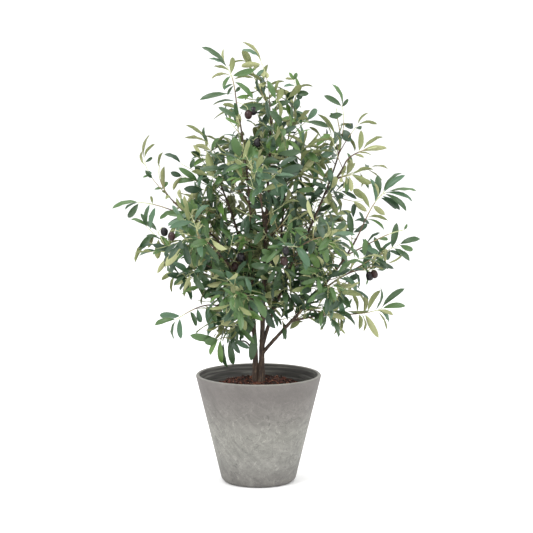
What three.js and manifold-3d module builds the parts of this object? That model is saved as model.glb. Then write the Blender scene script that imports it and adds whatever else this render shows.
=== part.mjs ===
// Artificial olive tree in a tapered round pot, about 1.15 m tall.
// Slim stems rise from bark chips in the pot, boughs leave the stems, and each bough, stem tip and
// side shoot carries one mass of leafy twigs. Olives hang in a few of the masses.
// Millimetres, +Z up. The origin is the centre of the pot's flat underside, and -Y is the front.
// An azimuth is 0 along +X and 90 along +Y, a slope is above the horizon, both in degrees.
import * as THREE from 'three';
import { mergeVertices } from 'three/addons/utils/BufferGeometryUtils.js';
import Module from 'manifold-3d';

const wasm = await Module();
wasm.setup();

// Driving dimensions
const GAP = 0.3;
const POT = {
  height: 285, rimRadius: 165.5, footRadius: 96, wall: 10, floor: 14, footRound: 12, lipRound: 4, sides: 36,
};
const CHIPS = {
  atWall: 236, top: 262, moundRadius: 84, shoulder: 16, shoulderDrop: 8, rootDepth: 6, sides: 24,
};
const BARK = { flare: 0.4, flareHeight: 16, stemSides: 7, boughSides: 5, stepLength: 100, fewestSteps: 4 };
const SHOOT = { thick: [2.8, 1.5], sides: 3, steps: 3, twigs: [0.16, 0.7], firstLeaf: 0.16 };
const TWIG = {
  thick: [2, 1.3], sides: 3, steps: 1, angle: 50, turn: 137.5, taper: 0.4, lift: 0.35, firstLeaf: 0.4,
};
const LEAF = {
  length: 78, width: 26, thick: 1.8, widest: 0.42, sink: 0.6, angle: 46, droop: 0.08, small: 0.75,
  ribs: [0.4, 0.65, 0.9],
};
const OLIVE = {
  radius: 9.5, stretch: 1.2, around: 6, down: 4, stalk: 17, stalkRadius: 1.1, hang: [0.12, -0.1, -1],
  alongTwig: 0.5,
};

// Spacing along twigs and the least distances that a leaf keeps
const PITCH = { twigs: 33, leafPairs: 34, firstPair: 0.35, tipLeaf: 0.98, acrossPair: 6, fewestTwigs: 3 };
const CLEAR = { leaf: 13, nextMass: 4.4, limb: 1, overPot: 8, besidePot: 16 };

// How far the seeded numbers vary a twig's turn, angle and length and a leaf's angle and size
const VARY = {
  twigTurn: 40, twigAngle: 16, twigLength: 0.3, leafAngle: 20, leafSize: 0.3, tipLeafSize: 0.25,
};

// How finely curves are stepped: arcs in the pot's outline, points on a path and halvings in a search
const FINE = { footArc: 3, lipArc: 4, path: 4, halvings: 30 };

// The pull on the way that a leaf faces: away from the pot's axis, towards the front and up
const FACING = { outward: 0.35, forward: 0.35, up: 0.35 };

// Stems and boughs. A stem has a foot in the chips, and a bough leaves its parent at the height `from`.
// Each ends at its azimuth, reach and height about the pot's axis, and thick is its two radii.
const LIMBS = [
  { name: 'trunk', foot: [7, -2],
    azimuth: 12, reach: 33, height: 942, leave: 89, arrive: 87, thick: [7.2, 2.1] },
  { name: 'stem_left', foot: [-8, 2],
    azimuth: 155, reach: 106, height: 770, leave: 91, arrive: 64, thick: [7, 2.2] },
  { name: 'stem_upper_left', parent: 'stem_left', from: 420,
    azimuth: 205, reach: 58, height: 972, leave: 88, arrive: 76, thick: [4.4, 1.8] },
  { name: 'stem_low_right', parent: 'trunk', from: 338,
    azimuth: -16, reach: 262, height: 650, leave: 50, arrive: 62, thick: [4.8, 2.3] },
  { name: 'stem_right', parent: 'trunk', from: 352,
    azimuth: 12, reach: 216, height: 865, leave: 76, arrive: 74, thick: [5, 2] },
  { name: 'stem_top_right', parent: 'stem_right', from: 440,
    azimuth: 42, reach: 106, height: 900, leave: 74, arrive: 82, thick: [3.8, 1.8] },
  { name: 'bough_left_low', parent: 'stem_left', from: 392,
    azimuth: 190, reach: 122, height: 470, leave: 50, arrive: 4, thick: [3, 2] },
  { name: 'bough_bottom_left', parent: 'stem_left', from: 345,
    azimuth: 200, reach: 44, height: 374, leave: 28, arrive: 2, thick: [2.7, 2] },
  { name: 'bough_left', parent: 'stem_left', from: 560,
    azimuth: 170, reach: 196, height: 708, leave: 44, arrive: 36, thick: [3.4, 2] },
  { name: 'bough_left_mid', parent: 'stem_left', from: 508,
    azimuth: 206, reach: 200, height: 604, leave: 38, arrive: 26, thick: [3.1, 2] },
  { name: 'bough_left_under', parent: 'stem_left', from: 452,
    azimuth: 160, reach: 142, height: 540, leave: 50, arrive: 24, thick: [2.9, 2] },
  { name: 'bough_right_low', parent: 'stem_low_right', from: 428,
    azimuth: -14, reach: 208, height: 449, leave: 14, arrive: 2, thick: [3, 2] },
  { name: 'bough_right_mid', parent: 'stem_low_right', from: 500,
    azimuth: -2, reach: 222, height: 545, leave: 28, arrive: 24, thick: [3, 2] },
  { name: 'bough_right_upper', parent: 'stem_right', from: 755,
    azimuth: -4, reach: 224, height: 838, leave: 50, arrive: 60, thick: [2.6, 1.8] },
  { name: 'bough_front_low', parent: 'trunk', from: 430,
    azimuth: -104, reach: 120, height: 508, leave: 50, arrive: 26, thick: [3.2, 2] },
  { name: 'bough_front_left', parent: 'stem_left', from: 490,
    azimuth: -134, reach: 152, height: 622, leave: 56, arrive: 42, thick: [3.2, 2] },
  { name: 'bough_front_right', parent: 'stem_right', from: 510,
    azimuth: -50, reach: 156, height: 622, leave: 52, arrive: 40, thick: [3.2, 2] },
  { name: 'bough_front_high', parent: 'trunk', from: 630,
    azimuth: -86, reach: 96, height: 756, leave: 62, arrive: 58, thick: [2.8, 1.9] },
  { name: 'bough_back_low', parent: 'trunk', from: 452,
    azimuth: 98, reach: 126, height: 524, leave: 48, arrive: 26, thick: [3.2, 2] },
  { name: 'bough_back_left', parent: 'stem_left', from: 470,
    azimuth: 126, reach: 156, height: 608, leave: 54, arrive: 42, thick: [3.2, 2] },
  { name: 'bough_back_right', parent: 'stem_top_right', from: 550,
    azimuth: 52, reach: 168, height: 634, leave: 46, arrive: 42, thick: [3, 2] },
  { name: 'bough_back_high', parent: 'trunk', from: 680,
    azimuth: 100, reach: 92, height: 786, leave: 62, arrive: 60, thick: [2.7, 1.9] },
];

// Masses of foliage. A mass grows on from the tip of its limb, or from the limb's side at the height `at`.
// Its shoot heads for the azimuth and rise over the reach and bends, spread is its longest twig and leaf is
// its leaves' size. Its place in this list is the seed of the numbers that vary it.
const MASSES = [
  { name: 'leaves_top', on: 'trunk',
    azimuth: 186, rise: 70, reach: 146, spread: 66, bend: 6, leaf: 0.88 },
  { name: 'leaves_upper_left', on: 'stem_left',
    azimuth: 162, rise: 66, reach: 104, spread: 72, bend: 16, leaf: 0.88 },
  { name: 'leaves_top_left', on: 'stem_upper_left',
    azimuth: 170, rise: 76, reach: 116, spread: 66, bend: -22, leaf: 0.88 },
  { name: 'leaves_right', on: 'stem_low_right',
    azimuth: -10, rise: 60, reach: 134, spread: 72, bend: -18, leaf: 0.88 },
  { name: 'leaves_right_top', on: 'stem_right',
    azimuth: 130, rise: 84, reach: 112, spread: 58, bend: 4, leaf: 0.88 },
  { name: 'leaves_top_right', on: 'stem_top_right',
    azimuth: 0, rise: 80, reach: 112, spread: 66, bend: -8, leaf: 0.88 },
  { name: 'leaves_left_low', on: 'bough_left_low',
    azimuth: 182, rise: -22, reach: 100, spread: 62, bend: -12, leaf: 0.88 },
  { name: 'leaves_bottom_left', on: 'bough_bottom_left',
    azimuth: 196, rise: 6, reach: 66, spread: 52, bend: -44, leaf: 0.88 },
  { name: 'leaves_left', on: 'bough_left',
    azimuth: 176, rise: 62, reach: 138, spread: 62, bend: 44, leaf: 0.88 },
  { name: 'leaves_left_out', on: 'bough_left', at: 696,
    azimuth: 190, rise: 16, reach: 140, spread: 66, bend: -14, leaf: 0.88 },
  { name: 'leaves_left_mid', on: 'bough_left_mid',
    azimuth: 182, rise: 20, reach: 92, spread: 70, bend: -20, olives: 2, leaf: 0.88 },
  { name: 'leaves_left_under', on: 'bough_left_under',
    azimuth: 186, rise: -18, reach: 78, spread: 66, bend: -12, leaf: 0.88 },
  { name: 'leaves_right_low', on: 'bough_right_low',
    azimuth: -6, rise: 8, reach: 116, spread: 70, bend: 12, leaf: 0.88 },
  { name: 'leaves_right_mid', on: 'bough_right_mid',
    azimuth: 0, rise: 16, reach: 118, spread: 66, bend: 2, olives: 2, leaf: 0.88 },
  { name: 'leaves_right_out', on: 'stem_low_right', at: 606,
    azimuth: -2, rise: 24, reach: 161, spread: 64, bend: -14, leaf: 0.88 },
  { name: 'leaves_right_upper', on: 'bough_right_upper',
    azimuth: -8, rise: 28, reach: 92, spread: 66, bend: -14, leaf: 0.88 },
  { name: 'leaves_right_under', on: 'stem_low_right', at: 462,
    azimuth: -52, rise: -6, reach: 112, spread: 66, bend: -24, leaf: 1 },
  { name: 'leaves_front_right_low', on: 'stem_low_right', at: 524,
    azimuth: -84, rise: 6, reach: 128, spread: 74, bend: -8, leaf: 1.12 },
  { name: 'leaves_front_low', on: 'bough_front_low',
    azimuth: -104, rise: 6, reach: 132, spread: 76, bend: -18, leaf: 1.12 },
  { name: 'leaves_front_left', on: 'bough_front_left',
    azimuth: -138, rise: 24, reach: 132, spread: 78, bend: -14, leaf: 1.12 },
  { name: 'leaves_front_right', on: 'bough_front_right',
    azimuth: -46, rise: 22, reach: 134, spread: 78, bend: -14, leaf: 1.12 },
  { name: 'leaves_front_high', on: 'bough_front_high',
    azimuth: -96, rise: 46, reach: 130, spread: 76, bend: -8, leaf: 1.12 },
  { name: 'leaves_back_low', on: 'bough_back_low',
    azimuth: 96, rise: 8, reach: 132, spread: 78, bend: -18, leaf: 1.12 },
  { name: 'leaves_back_left', on: 'bough_back_left',
    azimuth: 134, rise: 24, reach: 134, spread: 78, bend: -12, olives: 1, leaf: 1.12 },
  { name: 'leaves_back_right', on: 'bough_back_right',
    azimuth: 46, rise: 24, reach: 134, spread: 78, bend: -12, olives: 1, leaf: 1.12 },
  { name: 'leaves_back_high', on: 'bough_back_high',
    azimuth: 88, rise: 48, reach: 134, spread: 76, bend: -8, leaf: 1.12 },
  { name: 'leaves_low_centre', on: 'stem_left', at: 418,
    azimuth: 216, rise: 2, reach: 108, spread: 58, bend: -20, leaf: 1 },
  { name: 'leaves_inner_left', on: 'stem_left', at: 570,
    azimuth: 226, rise: 30, reach: 130, spread: 76, bend: 4, olives: 1, leaf: 1.12 },
  { name: 'leaves_inner_front', on: 'trunk', at: 630,
    azimuth: -58, rise: 36, reach: 140, spread: 76, bend: 6, olives: 1, leaf: 1.12 },
  { name: 'leaves_inner_back', on: 'trunk', at: 590,
    azimuth: 76, rise: 44, reach: 130, spread: 76, bend: 6, leaf: 1.12 },
  { name: 'leaves_inner_right', on: 'stem_right', at: 560,
    azimuth: -46, rise: 30, reach: 136, spread: 76, bend: 6, leaf: 1.12 },
  { name: 'leaves_mid_left', on: 'stem_left', at: 676,
    azimuth: 206, rise: 30, reach: 128, spread: 74, bend: 10, leaf: 1.12 },
  { name: 'leaves_high_left', on: 'stem_upper_left', at: 730,
    azimuth: 206, rise: 54, reach: 130, spread: 74, bend: 6, olives: 1, leaf: 1.12 },
  { name: 'leaves_high_centre', on: 'trunk', at: 846,
    azimuth: -64, rise: 60, reach: 116, spread: 74, bend: 6, olives: 1, leaf: 1.12 },
  { name: 'leaves_high_right', on: 'stem_top_right', at: 770,
    azimuth: -16, rise: 52, reach: 132, spread: 74, bend: 8, leaf: 1.12 },
  { name: 'leaves_high_back', on: 'stem_upper_left', at: 830,
    azimuth: 110, rise: 56, reach: 116, spread: 70, bend: 6, leaf: 1.12 },
];

const UP = new THREE.Vector3(0, 0, 1);

function heading(azimuth, slope) {
  const a = THREE.MathUtils.degToRad(azimuth);
  const s = THREE.MathUtils.degToRad(slope);
  return new THREE.Vector3(Math.cos(a) * Math.cos(s), Math.sin(a) * Math.cos(s), Math.sin(s));
}

// The direction that lies at the angle from along, on the side of across
function between(along, across, angle) {
  return along.clone().multiplyScalar(Math.cos(angle)).addScaledVector(across, Math.sin(angle));
}

// A repeatable run of numbers from 0 to 1
function seededRandom(seed) {
  let state = (seed * 7919 + 12345) >>> 0;
  return () => {
    state = (Math.imul(state, 1664525) + 1013904223) >>> 0;
    return state / 4294967296;
  };
}

function solidOf(geometry) {
  const bare = geometry.clone();
  bare.deleteAttribute('normal');
  bare.deleteAttribute('uv');
  const merged = mergeVertices(bare, 1e-4);
  return new wasm.Manifold(new wasm.Mesh({
    numProp: 3,
    vertProperties: new Float32Array(merged.attributes.position.array),
    triVerts: new Uint32Array(merged.index.array),
  }));
}

function geometryOf(solid) {
  const mesh = solid.getMesh();
  const geometry = new THREE.BufferGeometry();
  geometry.setAttribute('position', new THREE.BufferAttribute(new Float32Array(mesh.vertProperties), 3));
  geometry.setIndex(new THREE.BufferAttribute(new Uint32Array(mesh.triVerts), 1));
  return geometry;
}

// The largest piece of a solid. Scraps and the skins of sealed hollows are dropped.
function largestPiece(solid) {
  return solid.decompose().reduce((best, piece) => (piece.volume() > best.volume() ? piece : best));
}

// A straight cylinder bent along the curve, with the radius that radiusAt gives from 0 to 1 along it
function taperedTube(curve, steps, sides, radiusAt) {
  const geometry = new THREE.CylinderGeometry(1, 1, 1, sides, steps);
  const frames = curve.computeFrenetFrames(steps, false);
  const position = geometry.attributes.position;
  const point = new THREE.Vector3();
  for (let i = 0; i < position.count; i += 1) {
    const step = Math.round((position.getY(i) + 0.5) * steps);
    const radius = radiusAt(step / steps);
    point.copy(curve.getPointAt(step / steps));
    point.addScaledVector(frames.normals[step], position.getX(i) * radius);
    point.addScaledVector(frames.binormals[step], -position.getZ(i) * radius);
    position.setXYZ(i, point.x, point.y, point.z);
  }
  return geometry;
}

// A smooth curve from start to end that leaves and arrives along the two directions
function bentCurve(start, leave, end, arrive) {
  const third = start.distanceTo(end) / 3;
  return new THREE.CubicBezierCurve3(
    start,
    start.clone().addScaledVector(leave, third),
    end.clone().addScaledVector(arrive, -third),
    end,
  );
}

// How far along a rising curve, from 0 to 1, it reaches the height
function shareAtHeight(curve, height) {
  let low = 0;
  let high = 1;
  for (let i = 0; i < FINE.halvings; i += 1) {
    const middle = (low + high) / 2;
    if (curve.getPointAt(middle).z < height) low = middle;
    else high = middle;
  }
  return (low + high) / 2;
}

function distanceToSegment(point, a, b) {
  const along = b.clone().sub(a);
  const share = THREE.MathUtils.clamp(point.clone().sub(a).dot(along) / along.lengthSq(), 0, 1);
  return point.distanceTo(a.clone().addScaledVector(along, share));
}

function pointsOn(curve, count) {
  return Array.from({ length: count + 1 }, (_, i) => curve.getPointAt(i / count));
}

function potSolid() {
  const { height, rimRadius, footRadius, wall, floor, footRound, lipRound, sides } = POT;
  const taper = (rimRadius - footRadius) / height;
  const outerRadius = (z) => footRadius + taper * z;
  const profile = [new THREE.Vector2(0, 0)];
  for (let i = 0; i <= FINE.footArc; i += 1) {
    const turn = (i / FINE.footArc) * (Math.PI / 2);
    profile.push(new THREE.Vector2(
      outerRadius(footRound * (1 - Math.cos(turn))) - footRound * (1 - Math.sin(turn)),
      footRound * (1 - Math.cos(turn)),
    ));
  }
  const lipCentre = outerRadius(height - lipRound) - wall / 2;
  for (let i = 0; i <= FINE.lipArc; i += 1) {
    const turn = (i / FINE.lipArc) * Math.PI;
    profile.push(new THREE.Vector2(
      lipCentre + (wall / 2) * Math.cos(turn),
      height - lipRound + lipRound * Math.sin(turn),
    ));
  }
  profile.push(new THREE.Vector2(outerRadius(floor) - wall, floor), new THREE.Vector2(0, floor));
  return solidOf(new THREE.LatheGeometry(profile, sides).rotateX(Math.PI / 2));
}

// The chips fill the pot to near its rim and rise to a flat mound round the stems
function chipsSolid() {
  const { height, rimRadius, footRadius, wall, floor, sides: potSides } = POT;
  const taper = (rimRadius - footRadius) / height;
  const flatShare = Math.cos(Math.PI / potSides);
  const innerRadius = (z) => (footRadius + taper * z - wall) * flatShare - GAP;
  const profile = [
    new THREE.Vector2(0, floor + GAP),
    new THREE.Vector2(innerRadius(floor), floor + GAP),
    new THREE.Vector2(innerRadius(CHIPS.atWall), CHIPS.atWall),
    new THREE.Vector2(CHIPS.moundRadius + CHIPS.shoulder, CHIPS.top - CHIPS.shoulderDrop),
    new THREE.Vector2(CHIPS.moundRadius, CHIPS.top),
    new THREE.Vector2(0, CHIPS.top),
  ];
  return solidOf(new THREE.LatheGeometry(profile, CHIPS.sides).rotateX(Math.PI / 2));
}

// What lies under the feet of the stems, so that they are cut flat at ground level
function groundSolid() {
  const depth = CHIPS.top - POT.floor;
  const ground = new THREE.CylinderGeometry(CHIPS.moundRadius, CHIPS.moundRadius, depth, CHIPS.sides);
  return solidOf(ground.rotateX(Math.PI / 2).translate(0, 0, CHIPS.top + GAP - depth / 2));
}

// Works out a limb's curve and radius from its row and its parent
function layOutLimb(row, parents) {
  const end = heading(row.azimuth, 0).multiplyScalar(row.reach).setZ(row.height);
  let start;
  if (row.foot) {
    start = new THREE.Vector3(row.foot[0], row.foot[1], CHIPS.top - CHIPS.rootDepth);
  } else {
    const parent = parents.get(row.parent).curve;
    start = parent.getPointAt(shareAtHeight(parent, row.from));
  }
  const plan = THREE.MathUtils.radToDeg(Math.atan2(end.y - start.y, end.x - start.x));
  const curve = bentCurve(start, heading(plan, row.leave), end, heading(plan, row.arrive));
  const length = curve.getLength();
  const radiusAt = (share) => {
    const flare = row.foot ? BARK.flare * Math.exp(-(share * length) / BARK.flareHeight) : 0;
    return THREE.MathUtils.lerp(row.thick[0], row.thick[1], share) * (1 + flare);
  };
  const steps = Math.max(BARK.fewestSteps, Math.round(length / BARK.stepLength));
  const sides = row.foot || row.name.startsWith('stem') ? BARK.stemSides : BARK.boughSides;
  return { ...row, curve, radiusAt, steps, sides };
}

function widerLimb(limb, by) {
  return solidOf(taperedTube(limb.curve, limb.steps, limb.sides, (share) => limb.radiusAt(share) + by));
}

// A limb's solid, cut clear of the limbs that come before it
function limbSolid(limb, earlier) {
  let solid = widerLimb(limb, 0);
  if (limb.foot) solid = solid.subtract(groundSolid());
  for (const { cutter } of earlier) solid = solid.subtract(cutter);
  return largestPiece(solid);
}

function distanceToShoot(point, shoot) {
  return Math.min(...shoot.slice(1).map((next, i) => distanceToSegment(point, shoot[i], next)));
}

// A point is in a mass's own space if it is nearer to that mass's shoot than to any other
function inOwnSpace(point, mass, masses) {
  const own = distanceToShoot(point, mass.points);
  return masses.every((other) => (
    other === mass || distanceToShoot(point, other.points) - own > CLEAR.nextMass
  ));
}

function clearOfPot(point) {
  const radius = Math.hypot(point.x, point.y);
  return point.z > POT.height + CLEAR.overPot || radius > POT.rimRadius + CLEAR.besidePot;
}

// Works out a mass's shoot from its row and the limb that carries it
function layOutMass(row, place, limbs) {
  const limb = limbs.get(row.on);
  const toTip = heading(row.azimuth, row.rise).multiplyScalar(row.reach);
  const share = row.at ? shareAtHeight(limb.curve, row.at) : 1;
  const along = limb.curve.getTangentAt(share);
  const start = limb.curve.getPointAt(share);
  if (!row.at) start.addScaledVector(along, GAP);
  const leave = row.at ? heading(row.azimuth, row.rise) : along;
  const curve = bentCurve(start, leave, start.clone().add(toTip), heading(row.azimuth, row.rise + row.bend));
  return { ...row, curve, points: pointsOn(curve, FINE.path), random: seededRandom(place + 1) };
}

// Twigs leave the shoot at even steps, each a golden angle round from the last
function layOutTwigs(mass) {
  const count = Math.max(PITCH.fewestTwigs, Math.round(mass.reach / PITCH.twigs));
  return Array.from({ length: count }, (_, i) => {
    const share = THREE.MathUtils.lerp(SHOOT.twigs[0], SHOOT.twigs[1], i / (count - 1));
    const along = mass.curve.getTangentAt(share);
    const turn = THREE.MathUtils.degToRad(TWIG.turn * i + VARY.twigTurn * mass.random());
    const angle = THREE.MathUtils.degToRad(TWIG.angle + VARY.twigAngle * (mass.random() - 0.5));
    const vary = 1 + VARY.twigLength * (mass.random() - 0.5);
    const length = mass.spread * (1 - TWIG.taper * share) * vary;
    const across = new THREE.Vector3().crossVectors(along, UP).normalize().applyAxisAngle(along, turn);
    const leave = between(along, across, angle);
    const arrive = leave.clone().addScaledVector(along, TWIG.lift).normalize();
    const start = mass.curve.getPointAt(share);
    const end = start.clone().addScaledVector(leave, length * 0.5).addScaledVector(arrive, length * 0.5);
    return bentCurve(start, leave, end, arrive);
  });
}

// The way that a leaf faces: at random, with the pulls in FACING
function leafFacing(root, random) {
  const facing = new THREE.Vector3(random() - 0.5, random() - 0.5, random() - 0.5).multiplyScalar(2);
  facing.addScaledVector(new THREE.Vector3(root.x, root.y, 0).normalize(), FACING.outward);
  return facing.add(new THREE.Vector3(0, -FACING.forward, FACING.up));
}

// Pairs of leaves up a twig, turned a quarter from pair to pair, and one leaf at its tip
function layOutLeaves(curve, firstShare, scale, random) {
  const length = curve.getLength();
  const pairs = Math.max(1, Math.round((length * (1 - firstShare)) / PITCH.leafPairs));
  const quarter = random() * Math.PI;
  const leaves = [];
  for (let i = 0; i < pairs; i += 1) {
    const share = firstShare + ((1 - firstShare) * (i + PITCH.firstPair)) / pairs;
    const along = curve.getTangentAt(share);
    const across = new THREE.Vector3().crossVectors(along, UP).normalize();
    across.applyAxisAngle(along, quarter + (i * Math.PI) / 2);
    for (const sign of [-1, 1]) {
      const angle = THREE.MathUtils.degToRad(LEAF.angle + VARY.leafAngle * (random() - 0.5));
      const way = between(along, across, sign * angle);
      const root = curve.getPointAt(share).addScaledVector(along, (sign * PITCH.acrossPair) / 2);
      const faces = leafFacing(root, random);
      leaves.push({ root, way, faces, size: scale * (1 + VARY.leafSize * (random() - 0.5)) });
    }
  }
  const root = curve.getPointAt(PITCH.tipLeaf);
  const way = curve.getTangentAt(1);
  const faces = leafFacing(root, random);
  leaves.push({ root, way, faces, size: scale * (1 + VARY.tipLeafSize * (random() - 0.5)) });
  return leaves;
}

// Six faces in a leaf's outline, widest before its middle. The poles of a three-sided sphere are moved to
// the leaf's root and its drooping tip, and the corners of its equator to the rib and the two edges.
function leafGeometry({ root, way, faces, size }) {
  const normal = faces.clone().addScaledVector(way, -faces.dot(way)).normalize();
  const side = new THREE.Vector3().crossVectors(normal, way);
  const length = LEAF.length * size;
  const geometry = new THREE.SphereGeometry(1, 3, 2).rotateY(Math.PI / 2);
  const position = geometry.attributes.position;
  const point = new THREE.Vector3();
  for (let i = 0; i < position.count; i += 1) {
    const edge = Math.round(position.getX(i));
    const pole = Math.round(position.getY(i));
    let [ahead, rise] = [LEAF.widest * length, LEAF.thick * (edge === 0 ? 1 : 0)];
    if (pole > 0) [ahead, rise] = [-LEAF.sink, 0];
    if (pole < 0) [ahead, rise] = [length, -LEAF.droop * length];
    point.copy(root).addScaledVector(way, ahead).addScaledVector(normal, rise);
    point.addScaledVector(side, (edge * LEAF.width * size) / 2);
    position.setXYZ(i, point.x, point.y, point.z);
  }
  return geometry;
}

// An olive's two geometries: the fruit and the stalk that it hangs from under the root
function oliveGeometries(root) {
  const hang = new THREE.Vector3(...OLIVE.hang).normalize();
  const centre = root.clone().addScaledVector(hang, OLIVE.stalk + OLIVE.radius);
  const fruit = new THREE.SphereGeometry(OLIVE.radius, OLIVE.around, OLIVE.down).rotateX(Math.PI / 2);
  fruit.scale(1, 1, OLIVE.stretch).translate(centre.x, centre.y, centre.z);
  const stalk = new THREE.LineCurve3(root, centre);
  return [fruit, taperedTube(stalk, 1, TWIG.sides, () => OLIVE.stalkRadius)];
}

function cornersOf(geometry) {
  const position = geometry.attributes.position;
  const seen = new Map();
  for (let i = 0; i < position.count; i += 1) {
    const point = new THREE.Vector3().fromBufferAttribute(position, i);
    seen.set(point.toArray().map((value) => value.toFixed(2)).join(), point);
  }
  return [...seen.values()];
}

// Whether a twig, leaf or olive touches no limb and keeps to its mass's space, judged at the points
function hasRoom(solid, points, mass, masses, limbs) {
  return points.every((point) => clearOfPot(point) && inOwnSpace(point, mass, masses))
    && limbs.every((limb) => solid.intersect(limb.berth).isEmpty());
}

// Fuses a mass from its shoot, the twigs and leaves that have room, and its olives
function massSolid(mass, masses, limbs) {
  const thickness = (thick) => (share) => THREE.MathUtils.lerp(thick[0], thick[1], share);
  let shoot = solidOf(taperedTube(mass.curve, SHOOT.steps, SHOOT.sides, thickness(SHOOT.thick)));
  for (const limb of limbs) shoot = shoot.subtract(limb.cutter);
  const pieces = [largestPiece(shoot)];
  const leafy = [[mass.curve, SHOOT.firstLeaf]];
  for (const curve of layOutTwigs(mass)) {
    const twig = solidOf(taperedTube(curve, TWIG.steps, TWIG.sides, thickness(TWIG.thick)));
    if (hasRoom(twig, pointsOn(curve, FINE.path).slice(1), mass, masses, limbs)) {
      pieces.push(twig);
      leafy.push([curve, TWIG.firstLeaf]);
    }
  }
  const taken = [];
  for (const [curve, firstShare] of leafy) {
    for (const leaf of layOutLeaves(curve, firstShare, mass.leaf, mass.random)) {
      for (const size of [leaf.size, leaf.size * LEAF.small]) {
        const geometry = leafGeometry({ ...leaf, size });
        const blade = solidOf(geometry);
        const rib = LEAF.ribs.map((share) => (
          leaf.root.clone().addScaledVector(leaf.way, LEAF.length * size * share)
        ));
        const crowded = rib.some((point) => taken.some((other) => other.distanceTo(point) < CLEAR.leaf));
        if (!crowded && hasRoom(blade, [...cornersOf(geometry), ...rib], mass, masses, limbs)) {
          taken.push(...rib);
          pieces.push(blade);
          break;
        }
      }
    }
  }
  let olives = mass.olives || 0;
  for (const [curve] of leafy.slice(1)) {
    const [fruit, stalk] = oliveGeometries(curve.getPointAt(OLIVE.alongTwig));
    const olive = solidOf(fruit).add(solidOf(stalk));
    if (olives > 0 && hasRoom(olive, cornersOf(fruit), mass, masses, limbs)) {
      pieces.push(olive);
      olives -= 1;
    }
  }
  return largestPiece(wasm.Manifold.union(pieces));
}

function namedMesh(name, solid, material) {
  const mesh = new THREE.Mesh(geometryOf(solid), material);
  mesh.name = name;
  return mesh;
}

const materials = {
  pot: new THREE.MeshStandardMaterial({ color: 0x9b9893, roughness: 0.85, metalness: 0 }),
  chips: new THREE.MeshStandardMaterial({ color: 0x4a2a1c, roughness: 0.95, metalness: 0 }),
  bark: new THREE.MeshStandardMaterial({ color: 0x43312a, roughness: 0.9, metalness: 0 }),
  foliage: new THREE.MeshStandardMaterial({ color: 0x3f6a44, roughness: 0.6, metalness: 0 }),
};

const tree = new THREE.Group();
tree.name = 'potted_olive_tree';
tree.add(namedMesh('pot', potSolid(), materials.pot));
tree.add(namedMesh('bark_chips', chipsSolid(), materials.chips));

const limbs = new Map();
for (const row of LIMBS) limbs.set(row.name, layOutLimb(row, limbs));
const cutLimbs = [];
for (const limb of limbs.values()) {
  tree.add(namedMesh(limb.name, limbSolid(limb, cutLimbs), materials.bark));
  limb.cutter = widerLimb(limb, GAP);
  limb.berth = widerLimb(limb, CLEAR.limb);
  cutLimbs.push(limb);
}

const masses = MASSES.map((row, place) => layOutMass(row, place, limbs));
for (const mass of masses) {
  tree.add(namedMesh(mass.name, massSolid(mass, masses, cutLimbs), materials.foliage));
}

export default tree;
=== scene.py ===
import math

import bpy
import numpy as np
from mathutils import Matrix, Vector


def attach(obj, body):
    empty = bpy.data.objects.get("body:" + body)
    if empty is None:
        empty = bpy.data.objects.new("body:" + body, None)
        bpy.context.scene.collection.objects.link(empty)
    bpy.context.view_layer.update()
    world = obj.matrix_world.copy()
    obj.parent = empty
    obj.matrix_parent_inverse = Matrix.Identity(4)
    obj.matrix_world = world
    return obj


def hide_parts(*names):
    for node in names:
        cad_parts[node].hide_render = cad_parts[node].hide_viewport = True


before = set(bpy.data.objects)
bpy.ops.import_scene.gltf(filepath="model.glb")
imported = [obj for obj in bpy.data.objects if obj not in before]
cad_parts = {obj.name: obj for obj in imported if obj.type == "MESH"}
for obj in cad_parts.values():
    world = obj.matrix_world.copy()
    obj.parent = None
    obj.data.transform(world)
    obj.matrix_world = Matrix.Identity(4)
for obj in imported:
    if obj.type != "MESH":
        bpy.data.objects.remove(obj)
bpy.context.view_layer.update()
print("frame loaded")

mm = 0.001  # every size below is in millimetres and becomes metres in its mesh
up = np.array([0.0, 0.0, 1.0])
ahead = np.array([0.0, 1.0, 0.0])  # away from the camera

# The camera's place and lens, worked out from the ellipses of the rim and the chips in the photo
camera = {"place": (20.9, -4800.0, 1160.0), "pitch": 7.03, "lens": 125.34, "sensor": 36.0}


def seenAt(x, z, y):
    # The point at depth y that the camera sees where (x, 0, z) would be: on the line from the camera to it
    cx, cy, cz = camera["place"]
    share = (y - cy) / -cy
    return np.array([cx + (x - cx) * share, y, cz + (z - cz) * share])


def seenFrom(points):
    # Where the camera sees the points on the upright plane through the pot's axis: their x and z there
    cx, cy, cz = camera["place"]
    share = -cy / (points[..., 1] - cy)
    return cx + (points[..., 0] - cx) * share, cz + (points[..., 2] - cz) * share


# small helpers for meshes and materials

def addNode(tree, kind, settings=None, links=None):
    # Adds one shader node, sets its plain values and links its inputs
    node = tree.nodes.new(kind)
    for key, value in (settings or {}).items():
        if isinstance(key, int) or key in node.inputs:
            node.inputs[key].default_value = value
        else:
            setattr(node, key, value)
    for key, socket in (links or {}).items():
        tree.links.new(socket, node.inputs[key])
    return node


def linear(hexColour):
    # An sRGB hex value such as "8a7f6c" turned to the linear colour that shaders take
    parts = [int(hexColour[i:i + 2], 16) / 255 for i in (0, 2, 4)]
    return tuple(c / 12.92 if c <= 0.04045 else ((c + 0.055) / 1.055) ** 2.4 for c in parts) + (1.0,)


def noise(tree, place, size, detail, roughness=0.5, distortion=0.0):
    # A noise from 0 to 1, whose blotches are about as wide as the size in millimetres
    settings = {
        "Scale": 1 / (size * mm), "Detail": detail, "Roughness": roughness, "Distortion": distortion}
    return addNode(tree, "ShaderNodeTexNoise", settings, {"Vector": place}).outputs["Fac"]


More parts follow.
